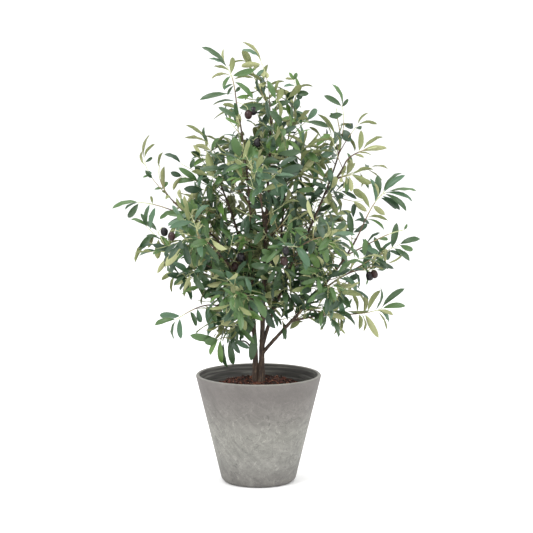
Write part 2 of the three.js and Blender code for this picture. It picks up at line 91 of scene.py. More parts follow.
def ranged(tree, value, start, end, first, last):
    # The value's way from start to end as one from first to last, held between these
    settings = {"From Min": start, "From Max": end, "To Min": first, "To Max": last}
    return addNode(tree, "ShaderNodeMapRange", settings, {"Value": value}).outputs["Result"]


def ramp(tree, value, *rows):
    # The colour for a value, blended between rows of a place and a colour
    node = addNode(tree, "ShaderNodeValToRGB", links={"Fac": value})
    stops = node.color_ramp.elements
    while len(stops) < len(rows):
        stops.new(0.5)
    for stop, (place, colour) in zip(stops, rows):
        stop.position = place
        stop.color = linear(colour)
    return node.outputs["Color"]


def mapped(tree, place, **settings):
    # The place moved, turned or stretched
    return addNode(tree, "ShaderNodeMapping", settings, {"Vector": place}).outputs["Vector"]


def times(tree, first, second):
    return addNode(tree, "ShaderNodeMath", {"operation": "MULTIPLY"}, {0: first, 1: second}).outputs[0]


def tinted(tree, colour, factor):
    # The colour times the factor
    settings = {"data_type": "RGBA", "blend_type": "MULTIPLY", 0: 1.0}
    return addNode(tree, "ShaderNodeMix", settings, {6: colour, 7: factor}).outputs[2]


def bumped(tree, height, strength, distance, **links):
    # The normal of a surface on which the height stands out
    settings = {"Strength": strength, "Distance": distance}
    return addNode(tree, "ShaderNodeBump", settings, {"Height": height, **links}).outputs["Normal"]


def newMaterial(name, colour, roughness, ior):
    # A plain material, with its tree and its shader for adding detail
    material = bpy.data.materials.new(name)
    material.use_nodes = True
    tree = material.node_tree
    shader = next(n for n in tree.nodes if n.type == "BSDF_PRINCIPLED")
    shader.inputs["Base Color"].default_value = linear(colour)
    shader.inputs["Roughness"].default_value = roughness
    shader.inputs["IOR"].default_value = ior
    return material, tree, shader


def plainLooks(kind, colours, roughness, ior):
    # One plain material of a kind for each colour
    return [newMaterial(kind + name, colour, roughness, ior)[0] for name, colour in colours.items()]


def placeOn(tree):
    # Where a point lies on its object, in metres
    return addNode(tree, "ShaderNodeTexCoord").outputs["Object"]


def inScene(name, data):
    # The object that shows the data, linked into the scene
    shown = bpy.data.objects.new(name, data)
    bpy.context.scene.collection.objects.link(shown)
    return shown


def newPiece(name, points, quads, materials, slots=None, sharpDegrees=None):
    # Puts arrays of points in mm and of four-cornered faces into a mesh object at the origin
    mesh = bpy.data.meshes.new(name)
    mesh.vertices.add(len(points))
    mesh.vertices.foreach_set("co", (np.asarray(points) * mm).astype(np.float32).ravel())
    mesh.loops.add(4 * len(quads))
    mesh.loops.foreach_set("vertex_index", np.asarray(quads, dtype=np.int32).ravel())
    mesh.polygons.add(len(quads))
    mesh.polygons.foreach_set("loop_start", np.arange(0, 4 * len(quads), 4, dtype=np.int32))
    if slots is not None:
        mesh.polygons.foreach_set("material_index", np.asarray(slots, dtype=np.int32))
    mesh.update(calc_edges=True)
    mesh.shade_smooth()
    if sharpDegrees:
        mesh.set_sharp_from_angle(angle=math.radians(sharpDegrees))
    for material in materials:
        mesh.materials.append(material)
    piece = inScene(name, mesh)
    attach(piece, "root")
    return piece


def joined(parts):
    # Stacks (points, quads) pairs into one pair, with each part's corners counted on from the last
    counts = np.cumsum([0] + [len(points) for points, _ in parts])
    quads = np.concatenate([quads + counts[i] for i, (_, quads) in enumerate(parts)])
    return np.concatenate([points for points, _ in parts]), quads


def ringQuads(rings, sides):
    # The faces between neighbouring rings of a tube whose corners are counted ring by ring
    i, j = np.meshgrid(np.arange(rings - 1), np.arange(sides), indexing="ij")
    near, far = i * sides + j, i * sides + (j + 1) % sides
    return np.stack([near, far, far + sides, near + sides], axis=-1).reshape(-1, 4)


def copies(quads, count, corners):
    # The faces of one form, counted on by its corners for each copy of it
    return (quads[None] + (np.arange(count) * corners)[:, None, None]).reshape(-1, 4)


def roundAngles(sides):
    # Even steps round a circle
    return np.linspace(0, 2 * np.pi, sides, endpoint=False)


def swungRound(first, second, angle):
    # first * cos(angle) + second * sin(angle): a way turned in the plane of two others
    return first * np.cos(angle)[..., None] + second * np.sin(angle)[..., None]


# curves, by the same formulas as the solids

def unit(vectors):
    return vectors / np.linalg.norm(vectors, axis=-1, keepdims=True)


def heading(azimuth, slope):
    # The way at an azimuth from X and a slope above level, in degrees
    a, s = math.radians(azimuth), math.radians(slope)
    return np.array([math.cos(a) * math.cos(s), math.sin(a) * math.cos(s), math.sin(s)])


def turned(vector, axis, angle):
    # The vector turned about a unit axis
    along = axis * np.dot(axis, vector)
    return along + (vector - along) * math.cos(angle) + np.cross(axis, vector) * math.sin(angle)


def cubic(corners, t):
    # A point of the cubic curve for each t, from its four corners
    t = np.asarray(t, dtype=float)[..., None]
    a, b, c, d = corners
    return a * (1 - t) ** 3 + 3 * b * t * (1 - t) ** 2 + 3 * c * t ** 2 * (1 - t) + d * t ** 3


def cubicSlope(corners, t):
    # The way along the cubic curve at each t, its derivative made a unit
    t = np.asarray(t, dtype=float)[..., None]
    a, b, c, d = corners
    return unit(3 * (b - a) * (1 - t) ** 2 + 6 * (c - b) * t * (1 - t) + 3 * (d - c) * t ** 2)


curveSteps, halvings = 201, 30


def bentCurve(start, leave, end, arrive):
    # A smooth curve that leaves and arrives along the two directions, with its arc lengths
    third = np.linalg.norm(end - start) / 3
    corners = np.array([start, start + leave * third, end - arrive * third, end])
    t = np.linspace(0, 1, curveSteps)
    steps = np.linalg.norm(np.diff(cubic(corners, t), axis=0), axis=1)
    lengths = np.concatenate([[0], np.cumsum(steps)])
    return {"corners": corners, "t": t, "lengths": lengths, "length": lengths[-1]}


def onCubic(curve, share):
    # The cubic's own t for a share of the arc length
    return np.interp(np.asarray(share) * curve["length"], curve["lengths"], curve["t"])


def pointAt(curve, share):
    # The point at a share of the curve's length
    return cubic(curve["corners"], onCubic(curve, share))


def alongAt(curve, share):
    # The way along the curve at a share of its length
    return cubicSlope(curve["corners"], onCubic(curve, share))


def shareAtHeight(curve, height):
    # The share of a rising curve at which it reaches the height, by halving
    low, high = 0.0, 1.0
    for _ in range(halvings):
        middle = (low + high) / 2
        if pointAt(curve, middle)[2] < height:
            low = middle
        else:
            high = middle
    return (low + high) / 2


def seededRandom(seed):
    # The same repeatable run of numbers from 0 to 1 as in the solids
    state = (seed * 7919 + 12345) % 2 ** 32

    def draw():
        nonlocal state
        state = (state * 1664525 + 1013904223) % 2 ** 32
        return state / 2 ** 32
    return draw


# Shares of a tube's radius: what is left of it at both ends, and how far the tip stands out past the last
# ring. The rings are counted from a way that no limb or twig follows.
tube = {"endRadius": 0.05, "point": 0.7, "aside": (0.31, 0.95, 0.11)}


def sweep(curve, sides, stepLength, radiusOf):
    # A tube along the curve: at each step a ring square to the curve, with the radius that radiusOf gives
    # for the share along it and the angle round it, narrowed at both ends to a ring too small to see
    rings = max(3, int(round(curve["length"] / stepLength)) + 1)
    share = np.linspace(0, 1, rings)
    centre, along = pointAt(curve, share), alongAt(curve, share)
    aside = np.cross(along.mean(axis=0), tube["aside"])
    normal = unit(aside - along * (along @ aside)[:, None])
    other = np.cross(along, normal)
    angle = roundAngles(sides)[None]
    radius = radiusOf(share[:, None], angle)
    ring = swungRound(normal[:, None], other[:, None], angle)
    points = centre[:, None] + ring * radius[..., None]
    ends = centre[:, None] + ring * radius[..., None] * tube["endRadius"]
    tip = ends[-1:] + along[-1] * radius[-1].mean() * tube["point"]
    return np.concatenate([ends[:1], points, tip]).reshape(-1, 3), ringQuads(rings + 2, sides)


# the pot

pot = {
    "height": 285.0, "rimRadius": 165.5, "footRadius": 96.0, "wall": 10.0, "floor": 14.0,
    "footRound": 12.0, "lipRound": 5.0, "underside": 60.0, "sides": 144, "sharp": 60,
    "footSteps": 9, "sideSteps": 24, "lipSteps": 13, "insideSteps": 12, "lipInside": 3,
    "hub": 0.02,  # a hair off the axis, so that the middle faces keep four corners
    # scuffs: slant, stretch, size, darkest and palest factor; their noise: detail, roughness, distortion
    "broad": (0.5, 1.6, 125.0, 0.9, 1.1), "falling": (0.75, 2.8, 71.43, 0.68, 1.34),
    "rising": (-0.6, 2.6, 41.67, 0.9, 1.11), "scuffNoise": (8.0, 0.74, 1.6), "scuffRange": (0.3, 0.7),
    "sideSlant": 0.8,
    # hair lines: size, the noise value that they follow, breadth and strength
    "paleLines": (76.92, 0.5, 0.012, 0.46), "darkLines": (62.5, 0.55, 0.013, -0.42),
    "lineNoise": (3.0, 0.6, 2.6), "rubbed": (0.25, 0.19, 0.3, 1.0),
    # size and detail of the grit: the real one is under half a millimetre, and is drawn coarser to show
    "grit": (2.381, 2.0), "gritTone": (0.3, 0.7, 0.94, 1.05), "coarseBump": (0.3, 0.001),
    "fineBump": (0.15, 0.0004), "paintedLightHeight": (0.0, 0.3, 0.0, 1.0),
    # tones by height from the foot up: painted shade at the foot and under the lip, a painted highlight on
    # the lip's top
    "tones": (
        (0.03, "676561"), (0.1, "6b6965"), (0.2, "787772"), (0.48, "7a7973"), (0.66, "6c6965"),
        (0.84, "625e5b"), (0.94, "65615e"), (0.95, "8b8a84")),
    "insideNoise": (138.9, 5.0, 0.6, 0.6), "insideTurn": 0.1, "insideStretch": (1.0, 1.0, 20.0),
    "insideTones": ((0.36, "3c3b39"), (0.52, "4e4d4a"), (0.62, "6b6a66"), (0.72, "86847f")),
}


def potMaterials(form):
    # Cement and stone powder in resin, cast in a mould and rubbed down: a dull warm grey skin, smooth under
    # the lip, with fine slanting scuffs and hair lines below. Painted shade darkens it at the foot and under
    # the lip, and a painted highlight runs along the top of the lip
    material, tree, shader = newMaterial("cast_stone_resin_rubbed_painted_light", "757270", 0.66, 1.5)
    place = placeOn(tree)
    height = addNode(tree, "ShaderNodeSeparateXYZ", links={"Vector": place}).outputs["Z"]
    # painted light by height: shade at the foot and under the lip, and a highlight along the lip's top
    tone = ramp(tree, ranged(tree, height, *form["paintedLightHeight"]), *form["tones"])

    def scuffs(turn, stretch, size, low, high):
        # Streaks drawn out along one slant, as a factor from low to high
        slant = (turn * form["sideSlant"], turn, 0.0)
        slanted = mapped(tree, place, vector_type="TEXTURE", Rotation=slant, Scale=(1.0, 1.0, 1 / stretch))
        streaks = noise(tree, slanted, size, *form["scuffNoise"])
        return ranged(tree, streaks, *form["scuffRange"], low, high), streaks

    def hairLines(size, around, sharp, strength):
        # Thin lines where a warped noise passes one value: 1 off the lines, and 1 + strength on them
        warped = noise(tree, place, size, *form["lineNoise"])
        off = addNode(tree, "ShaderNodeMath", {"operation": "SUBTRACT", 1: around}, {0: warped})
        away = addNode(tree, "ShaderNodeMath", {"operation": "ABSOLUTE"}, {0: off.outputs[0]})
        return ranged(tree, away.outputs[0], 0.0, sharp, 1.0 + strength, 1.0)

    (broad, _), (falling, relief), (rising, _) = (
        scuffs(*form[key]) for key in ("broad", "falling", "rising"))
    lines = times(tree, hairLines(*form["paleLines"]), hairLines(*form["darkLines"]))
    marks = times(tree, times(tree, falling, rising), lines)
    rubbed = ranged(tree, height, *form["rubbed"])
    faded = addNode(tree, "ShaderNodeMix", {"data_type": "FLOAT", 2: 1.0}, {0: rubbed, 3: marks})
    grit = noise(tree, place, *form["grit"])
    factor = times(tree, times(tree, broad, faded.outputs[0]), ranged(tree, grit, *form["gritTone"]))
    tree.links.new(tinted(tree, tone, factor), shader.inputs["Base Color"])
    coarse = bumped(tree, relief, *form["coarseBump"])
    tree.links.new(bumped(tree, grit, *form["fineBump"], Normal=coarse), shader.inputs["Normal"])

    # The inside is a darker grey than the outside, drawn into pale streaks that run nearly level
    inside, tree, shader = newMaterial("cast_stone_resin_inside", "403e3c", 0.75, 1.5)
    place = placeOn(tree)
    level = mapped(tree, place, Rotation=(0.0, form["insideTurn"], 0.0), Scale=form["insideStretch"])
    streaks = noise(tree, level, *form["insideNoise"])
    tree.links.new(ramp(tree, streaks, *form["insideTones"]), shader.inputs["Base Color"])
    return [material, inside]


def potProfile(form):
    # Radius and height from the middle of the underside, round the foot, up the taper, over the lip and
    # down inside to the middle of the floor, and the row where the inside starts
    height, wall, footRound, lipRound = (form[key] for key in ("height", "wall", "footRound", "lipRound"))
    taper = (form["rimRadius"] - form["footRadius"]) / height
    outer = lambda z: form["footRadius"] + taper * z
    turn, arc = np.linspace(0, np.pi / 2, form["footSteps"]), np.linspace(0, np.pi, form["lipSteps"])
    foot = footRound * (1 - np.cos(turn))
    climb = np.linspace(footRound, height - lipRound, form["sideSteps"])[1:-1]
    middle = outer(height - lipRound) - wall / 2
    fall = np.linspace(height - lipRound, form["floor"], form["insideSteps"])[1:]
    outside = [
        ([form["hub"], form["underside"]], [0.0, 0.0]), (outer(foot) - footRound * (1 - np.sin(turn)), foot),
        (outer(climb), climb), (middle + wall / 2 * np.cos(arc), height - lipRound * (1 - np.sin(arc)))]
    parts = outside + [(outer(fall) - wall, fall), ([form["hub"]], [form["floor"]])]
    insideFrom = sum(len(radii) for radii, _ in outside) - form["lipInside"]
    return np.concatenate([np.column_stack(part) for part in parts]), insideFrom


def lathe(profile, sides):
    # The profile turned about the Z axis
    angle = roundAngles(sides)
    points = np.stack([
        profile[:, :1] * np.cos(angle), profile[:, :1] * np.sin(angle),
        np.repeat(profile[:, 1:], sides, axis=1)], axis=-1)
    return points.reshape(-1, 3), ringQuads(len(profile), sides)


profile, rimRow = potProfile(pot)
points, quads = lathe(profile, pot["sides"])
insideFace = (quads[:, 0] // pot["sides"]) >= rimRow
potShell = newPiece("pot_shell", points, quads, potMaterials(pot), insideFace, pot["sharp"])
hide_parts("pot")
print("pot made")


# the bark chips

chips = {
    "atWall": 236.0, "top": 262.0, "moundRadius": 84.0, "shoulder": 16.0, "shoulderDrop": 8.0, "wall": 141.0,
    "count": 2600, "spread": 139.0, "within": 139.5, "length": (6.0, 17.0), "width": 0.42, "thick": 0.24,
    "lift": (-1.0, 3.2), "slope": 0.38, "roll": 0.5, "uneven": (0.7, 1.3), "endSize": 0.05, "sides": 5,
    "stations": (-0.5, -0.2, 0.25, 0.5), "swell": (0.35, 1.0, 0.85, 0.25), "sharp": 40, "seed": 31,
    "flakes": {"dark": "2b1a15", "red": "552b20", "brown": "43261b", "tan": "7a4f3a"},
    "shares": (0.34, 0.27, 0.29, 0.10),
}
bed = {
    "radii": (0.02, 20, 40, 60, 72, 84, 92, 100, 110, 120, 130, 138), "sink": 2.0, "bottom": 200.0,
    "sides": 96, "sharp": 60, "crumb": (5.263, 3.0), "tones": ((0.35, "1c120d"), (0.6, "3d261b")),
}


def chipMaterials(form):
    # Pine bark chipped and coir: dry, rough flakes in several red-browns, which look matt
    crumb, tree, shader = newMaterial("bark_crumb", "2b1c15", 0.95, 1.45)
    place = placeOn(tree)
    tone = ramp(tree, noise(tree, place, *bed["crumb"]), *bed["tones"])
    tree.links.new(tone, shader.inputs["Base Color"])
    return crumb, plainLooks("bark_flake_", form["flakes"], 0.9, 1.45)


def moundHeight(radius):
    # The height of the chips at a distance from the pot's axis: flat, then falling to the wall
    mound, top = chips["moundRadius"], chips["top"]
    return np.interp(radius, [0, mound, mound + chips["shoulder"], chips["wall"]], [
        top, top, top - chips["shoulderDrop"], chips["atWall"]])


def looseChips(form):
    # Each chip is a sliver of rings on a short axis, uneven at random and drawn together at both ends. The
    # corners are centre + axis * station + side * half * cos(turn) + top * half * thick / width * sin(turn)
    draw = np.random.default_rng(form["seed"])
    count, sides, stations = form["count"], form["sides"], np.array(form["stations"])
    radius = form["spread"] * np.sqrt(draw.random(count))
    angle = draw.random(count) * 2 * np.pi
    length = draw.uniform(*form["length"], count)
    centre = np.column_stack([
        radius * np.cos(angle), radius * np.sin(angle),
        moundHeight(radius) + draw.uniform(*form["lift"], count)])
    azimuth, slope = draw.random(count) * 2 * np.pi, draw.normal(0, form["slope"], count)
    axis = np.column_stack([np.cos(azimuth) * np.cos(slope), np.sin(azimuth) * np.cos(slope), np.sin(slope)])
    side = unit(np.cross(axis, draw.normal(0, form["roll"], (count, 3)) + up))
    top = np.cross(axis, side)
    uneven = draw.uniform(*form["uneven"], (count, len(stations), sides))
    turn = roundAngles(sides)
    half = (length * form["width"] / 2)[:, None, None] * (np.array(form["swell"])[None, :, None] * uneven)
    points = (
        centre[:, None, None] + axis[:, None, None] * (length[:, None] * stations)[:, :, None, None]
        + side[:, None, None] * (half * np.cos(turn))[..., None]
        + top[:, None, None] * (half * form["thick"] / form["width"] * np.sin(turn))[..., None])
    middles = points.mean(axis=2, keepdims=True)
    ends = middles + (points - middles) * form["endSize"]
    points = np.concatenate([ends[:, :1], points, ends[:, -1:]], axis=1)
    reach = np.hypot(points[..., 0], points[..., 1])
    points[..., :2] *= np.minimum(1.0, form["within"] / reach)[..., None]
    faces = ringQuads(len(stations) + 2, sides)
    quads = copies(faces, count, points[0, ..., 0].size)
    tones = np.repeat(draw.choice(len(form["shares"]), count, p=form["shares"]), len(faces))
    return points.reshape(-1, 3), quads, tones


bedMaterial, flakeMaterials = chipMaterials(chips)
radii = np.array(bed["radii"], dtype=float)
mound = np.column_stack([radii, moundHeight(radii) - bed["sink"]])
under = np.column_stack([radii[[0, -1]], [bed["bottom"], bed["bottom"]]])
bedPoints, bedQuads = lathe(np.concatenate([under, mound[::-1]]), bed["sides"])
chipsBed = newPiece("chips_bed", bedPoints, bedQuads, [bedMaterial], None, bed["sharp"])
chipPoints, chipQuads, chipTones = looseChips(chips)
looseBark = newPiece("bark_chips_loose", chipPoints, chipQuads, flakeMaterials, chipTones, chips["sharp"])
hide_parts("bark_chips")
print("chips made")


# stems and boughs: name, foot or parent and height there, azimuth, reach and height of the end, the
# slopes that it leaves and arrives with, and the radii of its base and tip

limbRows = [
    ("trunk", (7, -2), 12, 33, 942, 89, 87, (7.2, 2.1)),
    ("stem_left", (-8, 2), 155, 106, 770, 91, 64, (7, 2.2)),
    ("stem_upper_left", ("stem_left", 420), 205, 58, 972, 88, 76, (4.4, 1.8)),
    ("stem_low_right", ("trunk", 338), -16, 262, 650, 50, 62, (4.8, 2.3)),
    ("stem_right", ("trunk", 352), 12, 216, 865, 76, 74, (5, 2)),
    ("stem_top_right", ("stem_right", 440), 42, 106, 900, 74, 82, (3.8, 1.8)),
    ("bough_left_low", ("stem_left", 392), 190, 122, 470, 50, 4, (3, 2)),
    ("bough_bottom_left", ("stem_left", 345), 200, 44, 374, 28, 2, (2.7, 2)),
    ("bough_left", ("stem_left", 560), 170, 196, 708, 44, 36, (3.4, 2)),
    ("bough_left_mid", ("stem_left", 508), 206, 200, 604, 38, 26, (3.1, 2)),
    ("bough_left_under", ("stem_left", 452), 160, 142, 540, 50, 24, (2.9, 2)),
    ("bough_right_low", ("stem_low_right", 428), -14, 208, 449, 14, 2, (3, 2)),
    ("bough_right_mid", ("stem_low_right", 500), -2, 222, 545, 28, 24, (3, 2)),
    ("bough_right_upper", ("stem_right", 755), -4, 224, 838, 50, 60, (2.6, 1.8)),
    ("bough_front_low", ("trunk", 430), -104, 120, 508, 50, 26, (3.2, 2)),
    ("bough_front_left", ("stem_left", 490), -134, 152, 622, 56, 42, (3.2, 2)),
    ("bough_front_right", ("stem_right", 510), -50, 156, 622, 52, 40, (3.2, 2)),
    ("bough_front_high", ("trunk", 630), -86, 96, 756, 62, 58, (2.8, 1.9)),
    ("bough_back_low", ("trunk", 452), 98, 126, 524, 48, 26, (3.2, 2)),
    ("bough_back_left", ("stem_left", 470), 126, 156, 608, 54, 42, (3.2, 2)),
    ("bough_back_right", ("stem_top_right", 550), 52, 168, 634, 46, 42, (3, 2)),
    ("bough_back_high", ("trunk", 680), 100, 92, 786, 62, 60, (2.7, 1.9)),
]

bark = {
    "rootDepth": 6.0, "flare": 0.42, "flareHeight": 68.0, "collar": 0.3, "collarLength": 10.0,
    "sides": 18, "stepLength": 3.0,
    "ridges": ((2, 70.0, 0.035), (3, 41.0, 0.03), (5, 23.0, 0.03), (8, 15.0, 0.018)),
    "scar": 0.11, "scarWidth": 2.4, "scarSpacing": (26.0, 58.0), "mostScars": 40, "bareTip": 8.0,
    "scarRound": (0.7, 0.5), "seed": 7,
    # size, detail and roughness of the fibres: the real ones are finer, and are drawn coarser to show
    "alongGrain": (1.0, 1.0, 0.22), "fibres": (3.846, 5.0, 0.65), "bump": (0.5, 0.0006),
    "tones": ((0.32, "2b211a"), (0.52, "433429"), (0.72, "6e5b48")),
    "patches": (26.32, 2.0), "patchTone": (0.35, 0.65, 0.82, 1.16),
}


def layOutLimbs(rows):
    # Each limb is one smooth curve in the upright plane through its start and its end
    limbs = {}
    for name, origin, azimuth, reach, height, leave, arrive, thick in rows:
        end = heading(azimuth, 0) * reach + up * height
        if isinstance(origin[0], str):
            parent = limbs[origin[0]]["curve"]
            start = pointAt(parent, shareAtHeight(parent, origin[1]))
        else:
            start = np.array([origin[0], origin[1], chips["top"] - bark["rootDepth"]])
        plan = math.degrees(math.atan2(end[1] - start[1], end[0] - start[0]))
        curve = bentCurve(start, heading(plan, leave), end, heading(plan, arrive))
        limbs[name] = {"curve": curve, "thick": thick, "rooted": not isinstance(origin[0], str)}
    return limbs


def limbRadius(limb, share):
    # Even from base to tip, times a flare that dies out above the foot of a stem
    base, tip = limb["thick"]
    flare = bark["flare"] * np.exp(-share * limb["curve"]["length"] / bark["flareHeight"]) * limb["rooted"]
    return (base + (tip - base) * share) * (1 + flare)


def barkRelief(limb, draw):
    # The radius times low ridges that wind up the limb, with the swollen scars of old leaves at uneven
    # steps, and a collar where it leaves its parent
    length = limb["curve"]["length"]
    phases = draw.random(len(bark["ridges"])) * 2 * np.pi
    scars = np.cumsum(draw.uniform(*bark["scarSpacing"], bark["mostScars"]))
    scars = scars[scars < length - bark["bareTip"]]
    sides = draw.random(len(scars)) * 2 * np.pi
    allRound, toSide = bark["scarRound"]

    def radiusOf(share, angle):
        run = share * length
        relief = 1.0
        for (count, wave, size), phase in zip(bark["ridges"], phases):
            relief = relief + size * np.sin(count * angle + phase + 2 * np.pi * run / wave)
        for scar, side in zip(scars, sides):
            bulge = np.exp(-((run - scar) / bark["scarWidth"]) ** 2)
            relief = relief + bark["scar"] * bulge * (allRound + toSide * np.cos(angle - side))
        collar = 0.0 if limb["rooted"] else bark["collar"] * np.exp(-run / bark["collarLength"])
        return limbRadius(limb, share) * (relief + collar)
    return radiusOf


def barkMaterial(form):
    # Paper-wrapped wire dipped in brown resin: dull, dark red-brown, paler where the ribs are rubbed
    material, tree, shader = newMaterial("resin_dipped_bark", "43332b", 0.72, 1.5)
    place = placeOn(tree)
    fibres = noise(tree, mapped(tree, place, Scale=form["alongGrain"]), *form["fibres"])
    patches = ranged(tree, noise(tree, place, *form["patches"]), *form["patchTone"])
    tree.links.new(tinted(tree, ramp(tree, fibres, *form["tones"]), patches), shader.inputs["Base Color"])
    tree.links.new(bumped(tree, fibres, *form["bump"]), shader.inputs["Normal"])
    return material


limbs = layOutLimbs(limbRows)
barkDraw = np.random.default_rng(bark["seed"])
tubes = [
    sweep(limb["curve"], bark["sides"], bark["stepLength"], barkRelief(limb, barkDraw))
    for limb in limbs.values()]
stems = newPiece("stems_and_boughs", *joined(tubes), [barkMaterial(bark)])
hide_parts(*limbs)
print("stems and boughs made")


# masses of foliage: name, limb, the height on it or None for its tip, azimuth, rise, reach, longest
# twig, bend and leaf size, the same as in the solids; what varies a mass is seeded by its place in the list

massRows = [
    ("leaves_top", "trunk", None, 186, 70, 146, 66, 6, 0.88),
    ("leaves_upper_left", "stem_left", None, 162, 66, 104, 72, 16, 0.88),
    ("leaves_top_left", "stem_upper_left", None, 170, 76, 116, 66, -22, 0.88),
    ("leaves_right", "stem_low_right", None, -10, 60, 134, 72, -18, 0.88),
    ("leaves_right_top", "stem_right", None, 130, 84, 112, 58, 4, 0.88),
    ("leaves_top_right", "stem_top_right", None, 0, 80, 112, 66, -8, 0.88),
    ("leaves_left_low", "bough_left_low", None, 182, -22, 100, 62, -12, 0.88),
    ("leaves_bottom_left", "bough_bottom_left", None, 196, 6, 66, 52, -44, 0.88),
    ("leaves_left", "bough_left", None, 176, 62, 138, 62, 44, 0.88),
    ("leaves_left_out", "bough_left", 696, 190, 16, 140, 66, -14, 0.88),
    ("leaves_left_mid", "bough_left_mid", None, 182, 20, 92, 70, -20, 0.88),
    ("leaves_left_under", "bough_left_under", None, 186, -18, 78, 66, -12, 0.88),
    ("leaves_right_low", "bough_right_low", None, -6, 8, 116, 70, 12, 0.88),
    ("leaves_right_mid", "bough_right_mid", None, 0, 16, 118, 66, 2, 0.88),
    ("leaves_right_out", "stem_low_right", 606, -2, 24, 161, 64, -14, 0.88),
    ("leaves_right_upper", "bough_right_upper", None, -8, 28, 92, 66, -14, 0.88),
    ("leaves_right_under", "stem_low_right", 462, -52, -6, 112, 66, -24, 1),
    ("leaves_front_right_low", "stem_low_right", 524, -84, 6, 128, 74, -8, 1.12),
    ("leaves_front_low", "bough_front_low", None, -104, 6, 132, 76, -18, 1.12),
    ("leaves_front_left", "bough_front_left", None, -138, 24, 132, 78, -14, 1.12),
    ("leaves_front_right", "bough_front_right", None, -46, 22, 134, 78, -14, 1.12),
    ("leaves_front_high", "bough_front_high", None, -96, 46, 130, 76, -8, 1.12),
    ("leaves_back_low", "bough_back_low", None, 96, 8, 132, 78, -18, 1.12),
    ("leaves_back_left", "bough_back_left", None, 134, 24, 134, 78, -12, 1.12),
    ("leaves_back_right", "bough_back_right", None, 46, 24, 134, 78, -12, 1.12),
    ("leaves_back_high", "bough_back_high", None, 88, 48, 134, 76, -8, 1.12),
    ("leaves_low_centre", "stem_left", 418, 216, 2, 108, 58, -20, 1),
    ("leaves_inner_left", "stem_left", 570, 226, 30, 130, 76, 4, 1.12),
    ("leaves_inner_front", "trunk", 630, -58, 36, 140, 76, 6, 1.12),
    ("leaves_inner_back", "trunk", 590, 76, 44, 130, 76, 6, 1.12),
    ("leaves_inner_right", "stem_right", 560, -46, 30, 136, 76, 6, 1.12),
    ("leaves_mid_left", "stem_left", 676, 206, 30, 128, 74, 10, 1.12),
    ("leaves_high_left", "stem_upper_left", 730, 206, 54, 130, 74, 6, 1.12),
    ("leaves_high_centre", "trunk", 846, -64, 60, 116, 74, 6, 1.12),
    ("leaves_high_right", "stem_top_right", 770, -16, 52, 132, 74, 8, 1.12),
    ("leaves_high_back", "stem_upper_left", 830, 110, 56, 116, 70, 6, 1.12),
]

